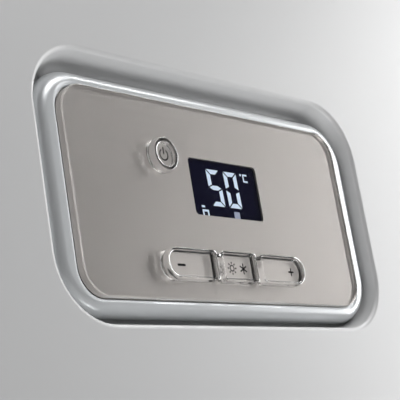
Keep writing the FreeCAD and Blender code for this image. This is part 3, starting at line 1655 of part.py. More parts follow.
def plate_heat_exchanger():
    """Brazed stack of plates between the hydraulic blocks, on two feet, with its tap-water ports in front."""
    (y0, y1), (z0, z1) = plate_stack()
    half = s.plate_stack_width / 2
    stack = block("plate_stack_block", (-half, half), (y0, y1), (z0, z1))
    feet = [
        block(f"plate_foot_{n}", x, (y1, -s.sheet), (z0, z0 + s.plate_port_inset))
        for n, x in enumerate([(-half, -half + s.plate_port_inset), (half - s.plate_port_inset, half)])
    ]
    ports = [
        rod(
            f"plate_port_{n}", (s.tap_pipe_x * sign, y0, z0 + s.plate_port_rise),
            "-Y", s.plate_port_length, s.plate_port_radius
        )
        for n, sign in enumerate((-1, 1))
    ]
    piece("plate_heat_exchanger", fuse("plate_stack_fused", stack, *feet, *ports))


def tap_pipes():
    """Hot outlet and cold inlet pipes: from the plate heat exchanger down through the bottom panel."""
    (y0, _), (z0, _) = plate_stack()
    z = z0 + s.plate_port_rise
    pipes = []
    for name, sign in (("hot", -1), ("cold", 1)):
        x = s.tap_pipe_x * sign
        free = bottom - s.nut_height
        radius = s.tap_pipe_radius - s.tail_step
        points = [(x, y0 - s.plate_port_length, z), (x, -s.tail_y, z), (x, -s.tail_y, free)]
        upper = pipe(f"{name}_pipe", points, radius, s.tap_pipe_bend, s.tail_wall)
        pipes.append(fuse(f"{name}_pipe_fused", upper, pipe_end(f"{name}_pipe", x, s.tap_pipe_radius)))
    piece("tap_pipes", group("tap_pipe_pair", *pipes))


def pipe_end(name, x, radius):
    """The free end of a pipe, below its nut. It is a little wider than the pipe in the nut."""
    low = bottom - s.tail_drop
    bore = radius - s.tail_step - s.tail_wall
    return tube(f"{name}_end", (x, -s.tail_y, low), "Z", s.tail_drop - s.nut_height, radius, bore)


def pipe_tails():
    """Straight copper tails of the heating flow, the gas and the heating return."""
    starts = {"flow": block_z()[0], "gas": gas_valve_z()[0], "return": block_z()[0]}
    tails = []
    for name, x, y, radius in pipe_places()[:3]:
        low = bottom - s.nut_height
        slim = radius - s.tail_step
        upper = tube(f"{name}_tail", (x, y, low), "Z", starts[name] - low, slim, slim - s.tail_wall)
        tails.append(fuse(f"{name}_tail_fused", upper, pipe_end(f"{name}_tail", x, radius)))
    piece("pipe_tails", group("tail_group", *tails))


def union_nuts():
    """Hexagonal nuts on the pipes, against the underside of the bottom panel."""
    nuts = []
    for name, x, y, radius in pipe_places():
        size = s.nut_radius if radius.text == s.tail_radius.text else s.nut_small_radius
        low = bottom - s.nut_height
        nut = hexagon(f"{name}_nut_hex", (x, y, low), "Z", s.nut_height, size)
        bore = radius - s.tail_step + s.shaft_play
        way = rod(f"{name}_nut_bore", (x, y, low - s.overrun), "Z", s.nut_height + s.overrun * 2, bore)
        nuts.append(cut(f"{name}_nut", nut, way))
    piece("union_nuts", group("nut_group", *nuts))


def gas_valve_z():
    low = bottom + s.sheet + s.gas_valve_rise
    return low, low + s.gas_valve_height


def gas_valve():
    """Cast gas valve with two solenoids on its front."""
    half, (z0, z1) = s.gas_valve_width / 2, gas_valve_z()
    y = (-s.tail_y - s.gas_valve_depth / 2, -s.tail_y + s.gas_valve_depth / 2)
    body = block("gas_valve_solid", (-half, half), y, (z0, z1))
    body = soften(
        "gas_valve_round", body, s.block_edge_radius,
        lambda e: e.BoundBox.ZLength > s.gas_valve_height.value / 2
    )
    coils = [
        rod(
            f"solenoid_{n}", (s.solenoid_spacing / 2 * sign, y[0], (z0 + z1) / 2),
            "-Y", s.solenoid_length, s.solenoid_radius
        )
        for n, sign in enumerate((-1, 1))
    ]
    piece("gas_valve", fuse("gas_valve_fused", body, *coils))


def gas_pipe():
    """Pipe from the gas valve up to the manifold."""
    level = riser_turn_z()
    points = [
        (0, -s.tail_y, gas_valve_z()[1]), (0, -s.tail_y, level),
        (0, manifold_y(), level), (0, manifold_y(), manifold_z()[0]),
    ]
    piece("gas_pipe", pipe("gas", points, s.pipe_radius, s.pipe_bend, s.pipe_wall))


def gauge_spot():
    return s.gauge_x, -s.gauge_y


def pressure_gauge():
    """Round pressure gauge in the bottom panel: a cup that opens downwards, with a collar below the sheet."""
    x, y = gauge_spot()
    low = bottom - s.gauge_proud
    can = rod("gauge_can", (x, y, low), "Z", s.gauge_depth + s.gauge_proud, s.gauge_radius - s.gauge_wall)
    collar = rod("gauge_collar", (x, y, low), "Z", s.gauge_proud, s.gauge_radius)
    cup = rod(
        "gauge_cup_hollow", (x, y, low - s.overrun), "Z",
        s.gauge_cup + s.overrun, s.gauge_radius - s.gauge_wall * 2
    )
    pin_way = rod(
        "gauge_pin_way", (x, y, low), "Z", s.gauge_cup + s.needle_pin + s.seat_gap,
        s.needle_pin_radius + s.needle_play
    )
    piece("pressure_gauge", cut("gauge_cut", fuse("gauge_fused", can, collar), cup, pin_way))


def gauge_needle():
    """Needle of the gauge on its pin."""
    x, y = gauge_spot()
    high = bottom - s.gauge_proud + s.gauge_cup
    z = (high - s.needle_thickness - s.seat_gap, high - s.seat_gap)
    half = s.needle_width / 2
    bar = block("needle_bar", (x - half, x + half), (y - s.needle_length, y + s.needle_length / 4), z)
    hub = rod("needle_hub", (x, y, z[0]), "Z", s.needle_thickness, s.needle_width)
    pin = rod(
        "needle_shaft", (x, y, z[0]), "Z",
        s.needle_thickness + s.seat_gap + s.needle_pin, s.needle_pin_radius
    )
    piece("gauge_needle", fuse("needle_fused", bar, hub, pin))


def relief_y():
    """The y of the relief valve's drain, half way along the valve."""
    return -s.tail_y - s.block_depth / 2 - s.relief_length / 2


def relief_front():
    return -s.tail_y - s.block_depth / 2 - s.relief_length


def relief_z():
    low, high = block_z()
    return (low + high) / 2


def relief_valve():
    """Safety valve on the return block, with a drain through the bottom panel."""
    x, z = s.tail_spacing, relief_z()
    y = relief_front()
    body = rod("relief_barrel", (x, y, z), "Y", s.relief_length, s.relief_radius)
    low = bottom - s.relief_drain_drop
    slim = s.relief_drain_radius - s.tail_step
    drain = rod("relief_drain", (x, relief_y(), bottom), "Z", z - bottom, slim)
    end = rod("relief_drain_end", (x, relief_y(), low), "Z", s.relief_drain_drop, s.relief_drain_radius)
    depth = s.relief_stem + s.overrun + s.seat_gap
    bore = rod("relief_bore", (x, y - s.overrun, z), "Y", depth, s.relief_stem_radius + s.relief_play)
    mouth_bore = slim - s.tail_wall
    mouth = rod("relief_mouth", (x, relief_y(), low - s.overrun), "Z", s.relief_drain_drop, mouth_bore)
    piece("relief_valve", cut("relief_cut", fuse("relief_fused", body, drain, end), bore, mouth))


def relief_knob():
    """Ribbed knob that turns to open the safety valve by hand."""
    x, z, y = s.tail_spacing, relief_z(), relief_front() - s.seat_gap
    grip = hexagon("relief_grip", (x, y, z), "-Y", s.relief_knob_length, s.relief_knob_radius)
    stem = rod("relief_stem_rod", (x, y, z), "Y", s.relief_stem + s.seat_gap, s.relief_stem_radius)
    piece("relief_knob", fuse("relief_knob_fused", grip, stem))


def main_control_box():
    """Closed box on the back plate with the ignition and safety electronics."""
    x0 = -side + s.sheet + s.main_box_gap
    high = chamber_floor - s.chamber_sheet - s.main_box_gap
    x, z = x0 + s.main_box_width / 2, high - s.main_box_height / 2
    size = (s.main_box_width, s.main_box_height, s.main_box_corner)
    body = rounded_plate("main_box", (x, z), -s.sheet - s.main_box_depth, -s.sheet, *size)
    round_edges(body, s.main_box_corner / 2, "front")
    piece("main_control_box", body)


def cable_gland():
    """Threaded gland for the mains cable, with its nut under the bottom panel."""
    x, y = -s.gland_x, -s.gland_y
    low = bottom - s.gland_length / 2
    barrel = rod("gland_barrel", (x, y, low), "Z", s.gland_length, s.gland_radius)
    nut = hexagon("gland_hex", (x, y, bottom - s.gland_nut), "Z", s.gland_nut, s.gland_nut_radius)
    bore = rod(
        "gland_bore", (x, y, low - s.overrun), "Z", s.gland_length + s.overrun * 2, s.gland_bore_radius
    )
    piece("cable_gland", cut("gland_cut", fuse("gland_fused", barrel, nut), bore))


def build():
    """Every piece of the boiler, in the order in which it is put together."""
    steps = [
        back_plate, side_panels, top_panel, bottom_panel, expansion_vessel, main_control_box,
        sealed_chamber, burner_tray, burner_blades, gas_manifold, combustion_chamber, insulation_boards,
        ignition_electrodes, heat_exchanger_fins, heat_exchanger_tubes, flue_hood, fan_housing, fan_impeller,
        fan_motor, air_pressure_switch, chamber_cover, sight_glass, chamber_screws, flue_turret, air_collar,
        flow_block, return_block, diverter_motor, diverter_spindle, pump_body, pump_head, pump_impeller,
        plate_heat_exchanger, gas_valve, risers, gas_pipe, tap_pipes, pipe_tails, union_nuts,
        pressure_gauge, gauge_needle, relief_valve, relief_knob, cable_gland,
        front_cover, cover_screws, control_bezel, fascia_plate, fascia_lens, row_keys, power_key,
        display_module, tact_switches, control_board, control_housing, housing_screws,
    ]
    for step in steps:
        step()
    doc.recompute()


def check():
    """Stops the build if any object failed or any piece has no valid solid."""
    for thing in doc.Objects:
        if "Invalid" in thing.State or "Error" in thing.State:
            raise RuntimeError(f"{thing.Name} failed: {thing.State}")
    for part in pieces:
        shape = part.Shape
        if shape.isNull() or not shape.isValid() or not shape.Solids:
            raise RuntimeError(f"{part.Label} has no valid solid")


def write():
    os.makedirs("parts", exist_ok=True)
    for part in pieces:
        part.Shape.exportStep(f"parts/{part.Label}.step")


build()
check()
write()
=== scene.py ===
import math
import bpy
from mathutils import Matrix, Vector


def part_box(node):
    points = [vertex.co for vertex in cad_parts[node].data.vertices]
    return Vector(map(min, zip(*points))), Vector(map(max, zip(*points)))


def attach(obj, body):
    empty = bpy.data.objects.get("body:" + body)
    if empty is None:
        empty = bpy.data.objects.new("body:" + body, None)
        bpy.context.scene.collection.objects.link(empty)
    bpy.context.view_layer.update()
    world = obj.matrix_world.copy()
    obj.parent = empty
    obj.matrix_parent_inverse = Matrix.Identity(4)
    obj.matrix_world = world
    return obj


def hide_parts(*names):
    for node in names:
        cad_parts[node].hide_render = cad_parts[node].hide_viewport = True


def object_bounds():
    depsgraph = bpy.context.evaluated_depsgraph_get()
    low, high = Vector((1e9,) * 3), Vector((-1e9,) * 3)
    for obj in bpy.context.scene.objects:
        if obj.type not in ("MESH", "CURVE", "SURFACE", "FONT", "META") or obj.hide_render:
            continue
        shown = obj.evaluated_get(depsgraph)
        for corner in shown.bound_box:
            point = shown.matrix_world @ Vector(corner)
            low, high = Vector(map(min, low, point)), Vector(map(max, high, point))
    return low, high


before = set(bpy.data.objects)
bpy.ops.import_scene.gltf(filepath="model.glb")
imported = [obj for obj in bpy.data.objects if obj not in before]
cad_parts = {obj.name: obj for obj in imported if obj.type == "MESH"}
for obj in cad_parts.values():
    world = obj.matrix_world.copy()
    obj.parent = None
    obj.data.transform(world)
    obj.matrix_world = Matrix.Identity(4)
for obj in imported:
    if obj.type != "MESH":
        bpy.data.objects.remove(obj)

cad_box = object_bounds()
bpy.context.scene.view_settings.view_transform = "Standard"

# The front cover is one pressed steel sheet with folded edges and a soft-edged pan for the controls.
# It is sprayed with a fine silver-grey satin paint. It hangs on hooks and is held by screws below.
cover_low, cover_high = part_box("front_cover")
lens_low, lens_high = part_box("fascia_lens")
bezel_low, bezel_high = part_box("control_bezel")
panel_z = (lens_low.z + lens_high.z) / 2
front_y = cover_low.y
cover_corner = 0.016
cover_edge = 0.009
cover_sheet = 0.0012
pan_margin_x = 0.0033
pan_margin_z = 0.0052
pan_rise = 0.0014
pan_corner = 0.025
pan_draft = 0.0027
rim_round = 0.0016
pan_floor_round = 0.003


class Value:
    """A shader socket. Sums, products and the greater of two values add Math nodes."""

    def __init__(self, nodes, socket):
        self.nodes = nodes
        self.socket = socket

    def maths(self, operation, first, second):
        return self.nodes.node("ShaderNodeMath", {"operation": operation}, {0: first, 1: second})

    def __add__(self, other):
        return self.maths("ADD", self, other)

    def __radd__(self, other):
        return self.maths("ADD", other, self)

    def __mul__(self, other):
        return self.maths("MULTIPLY", self, other)

    def __rmul__(self, other):
        return self.maths("MULTIPLY", other, self)

    def greater(self, other):
        return self.maths("MAXIMUM", self, other)


class NodeTree:
    """The shader nodes of a finish or of the sky."""

    def __init__(self, tree):
        self.tree = tree

    def feed(self, socket, value):
        """Links a value to a socket, or gives the socket a plain number or colour."""
        if isinstance(value, Value):
            self.tree.links.new(value.socket, socket)
        else:
            socket.default_value = value

    def node(self, kind, settings, sockets, output=0):
        """Adds a node of any kind, and gives one of its outputs as a value."""
        made = self.tree.nodes.new(kind)
        for key, value in settings.items():
            setattr(made, key, value)
        for key, value in sockets.items():
            self.feed(made.inputs[key], value)
        return Value(self, made.outputs[output])


class Finish(NodeTree):
    """A material whose patterns lie on Object coordinates."""

    def __init__(self, name):
        self.material = bpy.data.materials.new(name)
        self.material.use_nodes = True
        super().__init__(self.material.node_tree)
        self.shader = self.tree.nodes["Principled BSDF"]
        self.place = self.node("ShaderNodeTexCoord", {}, {}, "Object")

    def set(self, **sockets):
        """Feeds the shader's sockets. An underscore stands for each space in their names."""
        for key, value in sockets.items():
            self.feed(self.shader.inputs[key.replace("_", " ")], value)

    def noise(self, scale, detail, stretch=(1, 1, 1)):
        spot = self.node("ShaderNodeMapping", {}, {"Vector": self.place, "Scale": stretch})
        return self.node("ShaderNodeTexNoise", {}, {"Vector": spot, "Scale": scale, "Detail": detail})

    def between(self, share, first, second):
        """A colour between two others. A Mix node's colour sockets are found by their places."""
        factor_input, first_input, second_input, colour_output = 0, 6, 7, 2
        sockets = {factor_input: share, first_input: (*first, 1), second_input: (*second, 1)}
        return self.node("ShaderNodeMix", {"data_type": "RGBA"}, sockets, colour_output)

    def bump(self, height, strength, depth):
        sockets = {"Height": height, "Strength": strength, "Distance": depth}
        return self.node("ShaderNodeBump", {}, sockets, "Normal")


def clear_selection():
    if bpy.context.mode != "OBJECT":
        bpy.ops.object.mode_set(mode="OBJECT")
    bpy.ops.object.select_all(action="DESELECT")


def take(piece):
    """Makes a piece the only one that is selected."""
    clear_selection()
    bpy.context.view_layer.objects.active = piece
    piece.select_set(True)


def block_between(name, low, high):
    """A block between two corners, with its place in its mesh."""
    clear_selection()
    low, high = Vector(low), Vector(high)
    bpy.ops.mesh.primitive_cube_add(size=1, location=(low + high) / 2)
    block = bpy.context.object
    block.name = name
    block.scale = high - low
    bpy.ops.object.transform_apply(location=True, rotation=True, scale=True)
    return block


def pick(piece, kind, wanted):
    """Selects the edges or faces that pass a test, and stays in edit mode."""
    take(piece)
    bpy.ops.object.mode_set(mode="EDIT")
    bpy.ops.mesh.select_mode(type=kind)
    bpy.ops.mesh.select_all(action="DESELECT")
    bpy.ops.object.mode_set(mode="OBJECT")
    points = piece.data.vertices
    for part in piece.data.edges if kind == "EDGE" else piece.data.polygons:
        part.select = wanted([points[index].co for index in part.vertices])
    bpy.ops.object.mode_set(mode="EDIT")


def bevel(piece, wanted, width, steps):
    """Rounds the edges that pass a test."""
    pick(piece, "EDGE", wanted)
    bpy.ops.mesh.bevel(offset_type="OFFSET", offset=width, segments=steps, profile=0.5, affect="EDGES")
    bpy.ops.object.mode_set(mode="OBJECT")


def runs_in(points):
    """True for an edge that runs from front to back."""
    start, end = points
    sideways = math.hypot(start.x - end.x, start.z - end.z)
    return abs(start.y - end.y) > 2 * sideways


def lies_at(y):
    """A test for edges and faces in the upright plane at y."""
    slack = 1e-5
    return lambda points: all(abs(point.y - y) < slack for point in points)


def apply_modifier(piece, kind, **settings):
    take(piece)
    modifier = piece.modifiers.new(kind.title(), kind)
    for key, value in settings.items():
        setattr(modifier, key, value)
    bpy.ops.object.modifier_apply(modifier=modifier.name)


def cut_out(piece, *tools):
    for tool in tools:
        apply_modifier(piece, "BOOLEAN", operation="DIFFERENCE", solver="EXACT", object=tool)
        bpy.data.objects.remove(tool)


def smooth(piece, degrees=40):
    """Shades a piece smooth, apart from edges that are sharper than an angle."""
    take(piece)
    bpy.ops.object.shade_smooth_by_angle(angle=math.radians(degrees))
    apply_modifier(piece, "WEIGHTED_NORMAL", mode="FACE_AREA", weight=100, keep_sharp=True)


def fit(piece, finish, body, slot, *nodes):
    """Gives a piece its finish and its place in the assembly."""
    piece.data.materials.clear()
    piece.data.materials.append(finish.material)
    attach(piece, body)
    if nodes:
        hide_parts(*nodes)


paint = Finish("silver_satin_paint")
peel = paint.noise(scale=900, detail=2)
cloud = paint.noise(scale=7, detail=2)
paint.set(
    Base_Color=paint.between(cloud, (0.515, 0.517, 0.52), (0.535, 0.537, 0.54)),
    Roughness=0.40 + 0.06 * peel,
    Metallic=0.1,
    Normal=paint.bump(peel, strength=0.05, depth=0.0002),
)

cover = block_between("casing_front", cover_low, cover_high)
bevel(cover, runs_in, cover_corner, steps=10)
bevel(cover, lies_at(front_y), cover_edge, steps=7)
pan_floor = bezel_high.y
pan_z = panel_z + pan_rise
half_wide = (bezel_high.x - bezel_low.x) / 2 + pan_margin_x + pan_draft
half_tall = (bezel_high.z - bezel_low.z) / 2 + pan_margin_z + pan_draft
# The block stands as far out of the cover as it goes in,
# so its floor narrows by twice the draft on each side.
pan = block_between(
    "casing_pan",
    (-half_wide, 2 * front_y - pan_floor, pan_z - half_tall),
    (half_wide, pan_floor, pan_z + half_tall),
)
bevel(pan, runs_in, pan_corner, steps=28)
pick(pan, "FACE", lies_at(pan_floor))
shrink = (1 - 2 * pan_draft / half_wide, 1, 1 - 2 * pan_draft / half_tall)
bpy.ops.transform.resize(value=shrink, center_override=(0, pan_floor, pan_z))
bpy.ops.object.mode_set(mode="OBJECT")
cut_out(cover, pan)


def on_rim(points):
    """True for an edge where the pan meets the front of the cover."""
    inside = all(abs(point.x) < half_wide and abs(point.z - pan_z) < half_tall for point in points)
    return inside and lies_at(front_y)(points)


bevel(cover, on_rim, rim_round, steps=10)
bevel(cover, lies_at(pan_floor), pan_floor_round, steps=6)
pick(cover, "FACE", lies_at(cover_high.y))
bpy.ops.mesh.delete(type="FACE")
bpy.ops.object.mode_set(mode="OBJECT")
apply_modifier(cover, "SOLIDIFY", thickness=cover_sheet, offset=-1)
smooth(cover)
fit(cover, paint, "cover", "casing_paint", "front_cover")

# The control bezel is a moulded frame with a satin silver coat. Its pillow-shaped edge rolls back
# to the floor of the pan, and its front has a shallow seat for the clear lens.
bezel_corner = 0.019
bezel_front_round = 0.0050
bezel_back_round = 0.0024
bezel_inner_round = 0.0020
roll_past = 0.00002
roll_steps = 8
seat_play = 0.00015
lens_corner = 0.011
lens_corner_steps = 24
ledge_wide = 0.004
ledge_tall = 0.005
opening_corner = 0.008

silver = Finish("silver_coat")
fleck = silver.noise(scale=4000, detail=1)
silver.set(
    Base_Color=silver.between(fleck, (0.62, 0.64, 0.653), (0.66, 0.678, 0.69)),
    Roughness=0.26 + 0.08 * fleck,
    Metallic=0.4,
)

bezel = block_between("control_frame", bezel_low, bezel_high)
bevel(bezel, runs_in, bezel_corner, steps=28)
bevel(bezel, lies_at(bezel_low.y), bezel_front_round, steps=12)
bevel(bezel, lies_at(bezel_high.y), bezel_back_round, steps=4)
plate_low, plate_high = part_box("fascia_plate")
roll_y = bezel_low.y - roll_past
depth = roll_y + bezel_inner_round
seat = block_between(
    "lens_seat",
    (lens_low.x - seat_play, depth, lens_low.z - seat_play),
    (lens_high.x + seat_play, plate_high.y, lens_high.z + seat_play),
)
bevel(seat, runs_in, lens_corner, lens_corner_steps)
# The mouth of the seat flares in a quarter round, which rolls the inner edge of the bezel.
pick(seat, "FACE", lies_at(depth))
half_x, half_z = lens_high.x + seat_play, lens_high.z - panel_z + seat_play
flare = 0
for step in range(roll_steps):
    angle = math.pi / 2 * (step + 1) / roll_steps
    sink = roll_y + bezel_inner_round * (1 - math.sin(angle)) - depth
    bpy.ops.mesh.extrude_region_move(TRANSFORM_OT_translate={"value": (0, sink, 0)})
    depth += sink
    wider = bezel_inner_round * (1 - math.cos(angle))
    grow = ((half_x + wider) / (half_x + flare), 1, (half_z + wider) / (half_z + flare))
    bpy.ops.transform.resize(value=grow, center_override=(0, depth, panel_z))
    flare = wider
bpy.ops.object.mode_set(mode="OBJECT")
opening = block_between(
    "frame_opening",
    (lens_low.x + ledge_wide, front_y, lens_low.z + ledge_tall),
    (lens_high.x - ledge_wide, cover_high.y, lens_high.z - ledge_tall),
)
bevel(opening, runs_in, opening_corner, steps=12)
cut_out(bezel, seat, opening)
smooth(bezel)
fit(bezel, silver, "cover", "silver_plastic", "control_bezel")

# The fascia plate is thin anodised aluminium in a champagne grey. It lies behind the lens and is
# pierced for the display window and the keys.
key_play = 0.0003
key_end_steps = 20
key_inner_corner = 0.0014
key_inner_steps = 5
key_flange = 0.0011
merge_reach = 0.00003
window_wide = 0.040
window_tall = 0.0224
window_corner = 0.0016
display_low, display_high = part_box("display_module")
window_x = (display_low.x + display_high.x) / 2
window_z = (display_low.z + display_high.z) / 2
key_boxes = {}
for key in ("power", "minus", "mode", "plus"):
    low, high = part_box(f"{key}_button")
    edge = Vector((key_flange, 0, key_flange))
    key_boxes[key] = (low + edge, high - edge)


def key_block(name, key, grow, low_y, high_y):
    """The outline of a key, grown all round, as a block between two depths."""
    low, high = key_boxes[key]
    block = block_between(
        name, (low.x - grow, low_y, low.z - grow), (high.x + grow, high_y, high.z + grow)
    )
    middle = (low.x + high.x) / 2
    half = (high.z - low.z) / 2 + grow
    almost_share = 0.9995
    round_end = half * almost_share
    for side in (-1, 1):
        outer = key == "power" or (key == "minus" and side < 0) or (key == "plus" and side > 0)

        def on_side(points):
            return runs_in(points) and all((point.x - middle) * side > round_end / 2 for point in points)

        if outer:
            bevel(block, on_side, round_end, key_end_steps)
        else:
            bevel(block, on_side, key_inner_corner + grow, key_inner_steps)
    pick(block, "EDGE", lambda points: True)
    bpy.ops.mesh.remove_doubles(threshold=merge_reach)
    bpy.ops.object.mode_set(mode="OBJECT")
    return block


champagne = Finish("champagne_anodised")
brushing = champagne.noise(scale=900, detail=2, stretch=(0.02, 1, 1))
champagne.set(
    Base_Color=champagne.between(brushing, (0.365, 0.343, 0.326), (0.385, 0.362, 0.344)),
    Roughness=0.29 + 0.08 * brushing,
    Metallic=0.9,
)

plate = block_between("fascia_sheet", plate_low, plate_high)
bevel(plate, runs_in, lens_corner, lens_corner_steps)
window = block_between(
    "window_cut",
    (window_x - window_wide / 2, lens_low.y, window_z - window_tall / 2),
    (window_x + window_wide / 2, cover_high.y, window_z + window_tall / 2),
)
bevel(window, runs_in, window_corner, steps=6)
plate_cuts = [
    key_block(f"plate_cut_{key}", key, key_play, lens_low.y, plate_high.y + key_flange)
    for key in key_boxes
]
cut_out(plate, window, *plate_cuts)
smooth(plate)
fit(plate, champagne, "cover", "champagne_metal", "fascia_plate")

# The lens is a clear polished acrylic sheet with soft edges and an opening for each key.
# It is bonded to the plate and stands a little proud of the bezel, so light catches its edge.
lens_edge = 0.0007
lens_bond = 0.00002


def clear_plastic(name, tint, gloss):
    """A solid clear plastic with a polished skin and faint moulding marks. It lets soft light by."""
    mark_share = 0.99
    finish = Finish(name)
    skin = finish.noise(scale=600, detail=1)
    finish.set(
        Base_Color=finish.between(skin, [mark_share * part for part in tint], tint),
        Roughness=gloss + 0.01 * skin,
        Metallic=0.0,
        IOR=1.49,
        Transmission_Weight=1.0,
    )
    shadow_ray = finish.node("ShaderNodeLightPath", {}, {}, "Is Shadow Ray")
    diffuse_ray = finish.node("ShaderNodeLightPath", {}, {}, "Is Diffuse Ray")
    soft_ray = shadow_ray.greater(diffuse_ray)
    polished = Value(finish, finish.shader.outputs["BSDF"])
    let_by = finish.node("ShaderNodeBsdfTransparent", {}, {"Color": (*tint, 1)})
    either = finish.node("ShaderNodeMixShader", {}, {0: soft_ray, 1: polished, 2: let_by})
    finish.feed(finish.tree.nodes["Material Output"].inputs["Surface"], either)
    return finish


acrylic = clear_plastic("clear_acrylic", tint=(0.97, 0.975, 0.98), gloss=0.03)

lens = block_between("clear_lens", lens_low, lens_high + Vector((0, lens_bond, 0)))
bevel(lens, runs_in, lens_corner, lens_corner_steps)
bevel(lens, lies_at(lens_low.y), lens_edge, steps=4)
lens_cuts = [
    key_block(f"lens_cut_{key}", key, key_play, lens_low.y - key_flange, lens_high.y + key_flange)
    for key in key_boxes
]
cut_out(lens, *lens_cuts)
smooth(lens)
fit(lens, acrylic, "cover", "clear_acrylic", "fascia_lens")

# The keys are clear acrylic caps with soft edges, each bonded to a metal-coloured foot in its plate hole.
# Their signs are printed in dark grey: a power sign, minus, a sun with a snowflake, and plus.
cap_edge = 0.0004
frame_wide = 0.0010
frame_step = 0.0004
dish_wide = 0.0017
dish_step = 0.0013
step_round_share = 0.45
foot_bond = 0.00002
foot_edge = 0.0008
row_foot_inset = 0.0010
power_foot_inset = 0.0003
stem_long = 0.0016
sign_proud = 0.00003
sign_depth = 0.0001
stroke_end_share = 0.45

key_plastic = clear_plastic("clear_key", tint=(0.965, 0.965, 0.965), gloss=0.04)

ink = Finish("dark_print")
ink_grain = ink.noise(scale=3000, detail=2)
ink.set(
    Base_Color=ink.between(ink_grain, (0.006, 0.006, 0.007), (0.012, 0.012, 0.013)),
    Roughness=0.65 + 0.1 * ink_grain,
    Specular_IOR_Level=0.08,
)

# The key feet are the plate's champagne painted a little lighter. This is painted light that stands in for
# the light the clear caps hold back from them.
lightened_backing = Finish("key_backing_painted_light")
backing_grain = lightened_backing.noise(scale=900, detail=2, stretch=(0.02, 1, 1))
lightened_backing.set(
    Base_Color=lightened_backing.between(backing_grain, (0.43, 0.406, 0.387), (0.45, 0.425, 0.405)),
    Roughness=0.34 + 0.08 * backing_grain,
    Metallic=0.8,
)

for key, (low, high) in key_boxes.items():
    at_power = key == "power"
    rim, step = (dish_wide, dish_step) if at_power else (frame_wide, frame_step)
    cap = key_block(f"{key}_cap", key, 0, low.y, plate_low.y + foot_bond)
    pick(cap, "FACE", lies_at(low.y))
    bpy.ops.mesh.inset(thickness=rim, depth=0)
    bpy.ops.mesh.extrude_region_move(TRANSFORM_OT_translate={"value": (0, step, 0)})
    bpy.ops.object.mode_set(mode="OBJECT")
    bevel(cap, lies_at(low.y + step), step * step_round_share, steps=3)
    bevel(cap, lies_at(low.y), cap_edge, steps=4)
    smooth(cap)
    fit(cap, key_plastic, f"{key}_button_body", "clear_acrylic", f"{key}_button")
    foot_inset = power_foot_inset if at_power else row_foot_inset
    foot = key_block(f"{key}_foot", key, -foot_inset, plate_low.y, high.y - stem_long)
    bevel(foot, lies_at(high.y - stem_long), foot_edge, steps=3)
    smooth(foot)
    fit(foot, lightened_backing, f"{key}_button_body", "clear_acrylic")


def stroke(x, z, y, length, width, degrees):
    """A short printed bar with round ends, centred at x and z."""
    bar = block_between("stroke", (-length / 2, -sign_depth, -width / 2), (length / 2, 0, width / 2))
    bevel(bar, runs_in, width * stroke_end_share, steps=4)
    bar.data.transform(Matrix.Translation((x, y, z)) @ Matrix.Rotation(math.radians(degrees), 4, "Y"))
    return bar


def ring_sign(x, z, y, radius, width, gap_degrees):
    """A flat printed ring, open at its top by the gap."""
    clear_selection()
    bpy.ops.mesh.primitive_torus_add(
        major_radius=radius,
        minor_radius=width / 2,
        major_segments=72,
        minor_segments=8,
        rotation=(math.pi / 2, 0, 0),
    )
    ring = bpy.context.object
    bpy.ops.object.transform_apply(location=True, rotation=True, scale=True)

    def in_gap(points):
        return all(abs(math.degrees(math.atan2(point.x, point.z))) < gap_degrees / 2 for point in points)

    if gap_degrees:
        pick(ring, "FACE", in_gap)
        bpy.ops.mesh.delete(type="FACE")
        bpy.ops.mesh.select_all(action="SELECT")
        bpy.ops.mesh.region_to_loop()
        bpy.ops.mesh.edge_face_add()
        bpy.ops.object.mode_set(mode="OBJECT")
    flat = Matrix.Diagonal((1, sign_depth / width, 1, 1))
    ring.data.transform(Matrix.Translation((x, y - sign_depth / 2, z)) @ flat)
    return ring


def join(name, parts):
    """Makes one piece of several parts."""
    clear_selection()
    for part in parts:
        part.select_set(True)
    bpy.context.view_layer.objects.active = parts[0]
    bpy.ops.object.join()
    parts[0].name = name
    return parts[0]


def print_sign(name, key, strokes):
    """One printed sign, which moves with its key."""
    sign = join(name, strokes)
    smooth(sign, degrees=30)
    fit(sign, ink, f"{key}_button_body", "black_plastic")


def key_middle(key):
    low, high = key_boxes[key]
    return (low.x + high.x) / 2, (low.z + high.z) / 2, plate_low.y - sign_proud + sign_depth


power_ring = 0.0021
bar_rise_share = 0.75
bar_length_share = 1.35
line_wide = 0.0006
x, z, y = key_middle("power")
y = key_boxes["power"][0].y + dish_step + sign_depth - sign_proud
bar_z = z + power_ring * bar_rise_share
print_sign("power_sign", "power", [
    ring_sign(x, z, y, power_ring, line_wide, gap_degrees=70),
    stroke(x, bar_z, y, power_ring * bar_length_share, line_wide, degrees=90),
])
minus_long = 0.0043
minus_wide = 0.0009
minus_shift = -0.0037
x, z, y = key_middle("minus")
print_sign("minus_sign", "minus", [stroke(x + minus_shift, z, y, minus_long, minus_wide, degrees=0)])
plus_long = 0.0034
plus_wide = 0.0007
plus_shift = 0.0076
x, z, y = key_middle("plus")
print_sign("plus_sign", "plus", [
    stroke(x + plus_shift, z, y, plus_long, plus_wide, degrees=0),
    stroke(x + plus_shift, z, y, plus_long, plus_wide, degrees=90),
])
sun_radius = 0.0011
ray_count = 8
ray_out = 0.0021
ray_long = 0.0009
flake_arms = 3
flake_long = 0.0044
mode_apart = 0.0033
mode_shift = 0.0012
x, z, y = key_middle("mode")
sun_x = x + mode_shift - mode_apart
flake_x = x + mode_shift + mode_apart
sun = [ring_sign(sun_x, z, y, sun_radius, line_wide, gap_degrees=0)]
for ray in range(ray_count):
    degrees = 360 / ray_count * ray
    ray_x = sun_x + ray_out * math.cos(math.radians(degrees))
    ray_z = z - ray_out * math.sin(math.radians(degrees))
    sun.append(stroke(ray_x, ray_z, y, ray_long, line_wide, degrees))
flake = []
for arm in range(flake_arms):
    flake.append(stroke(flake_x, z, y, flake_long, line_wide, degrees=180 / flake_arms * arm + 90))
print_sign("season_sign", "mode", sun + flake)

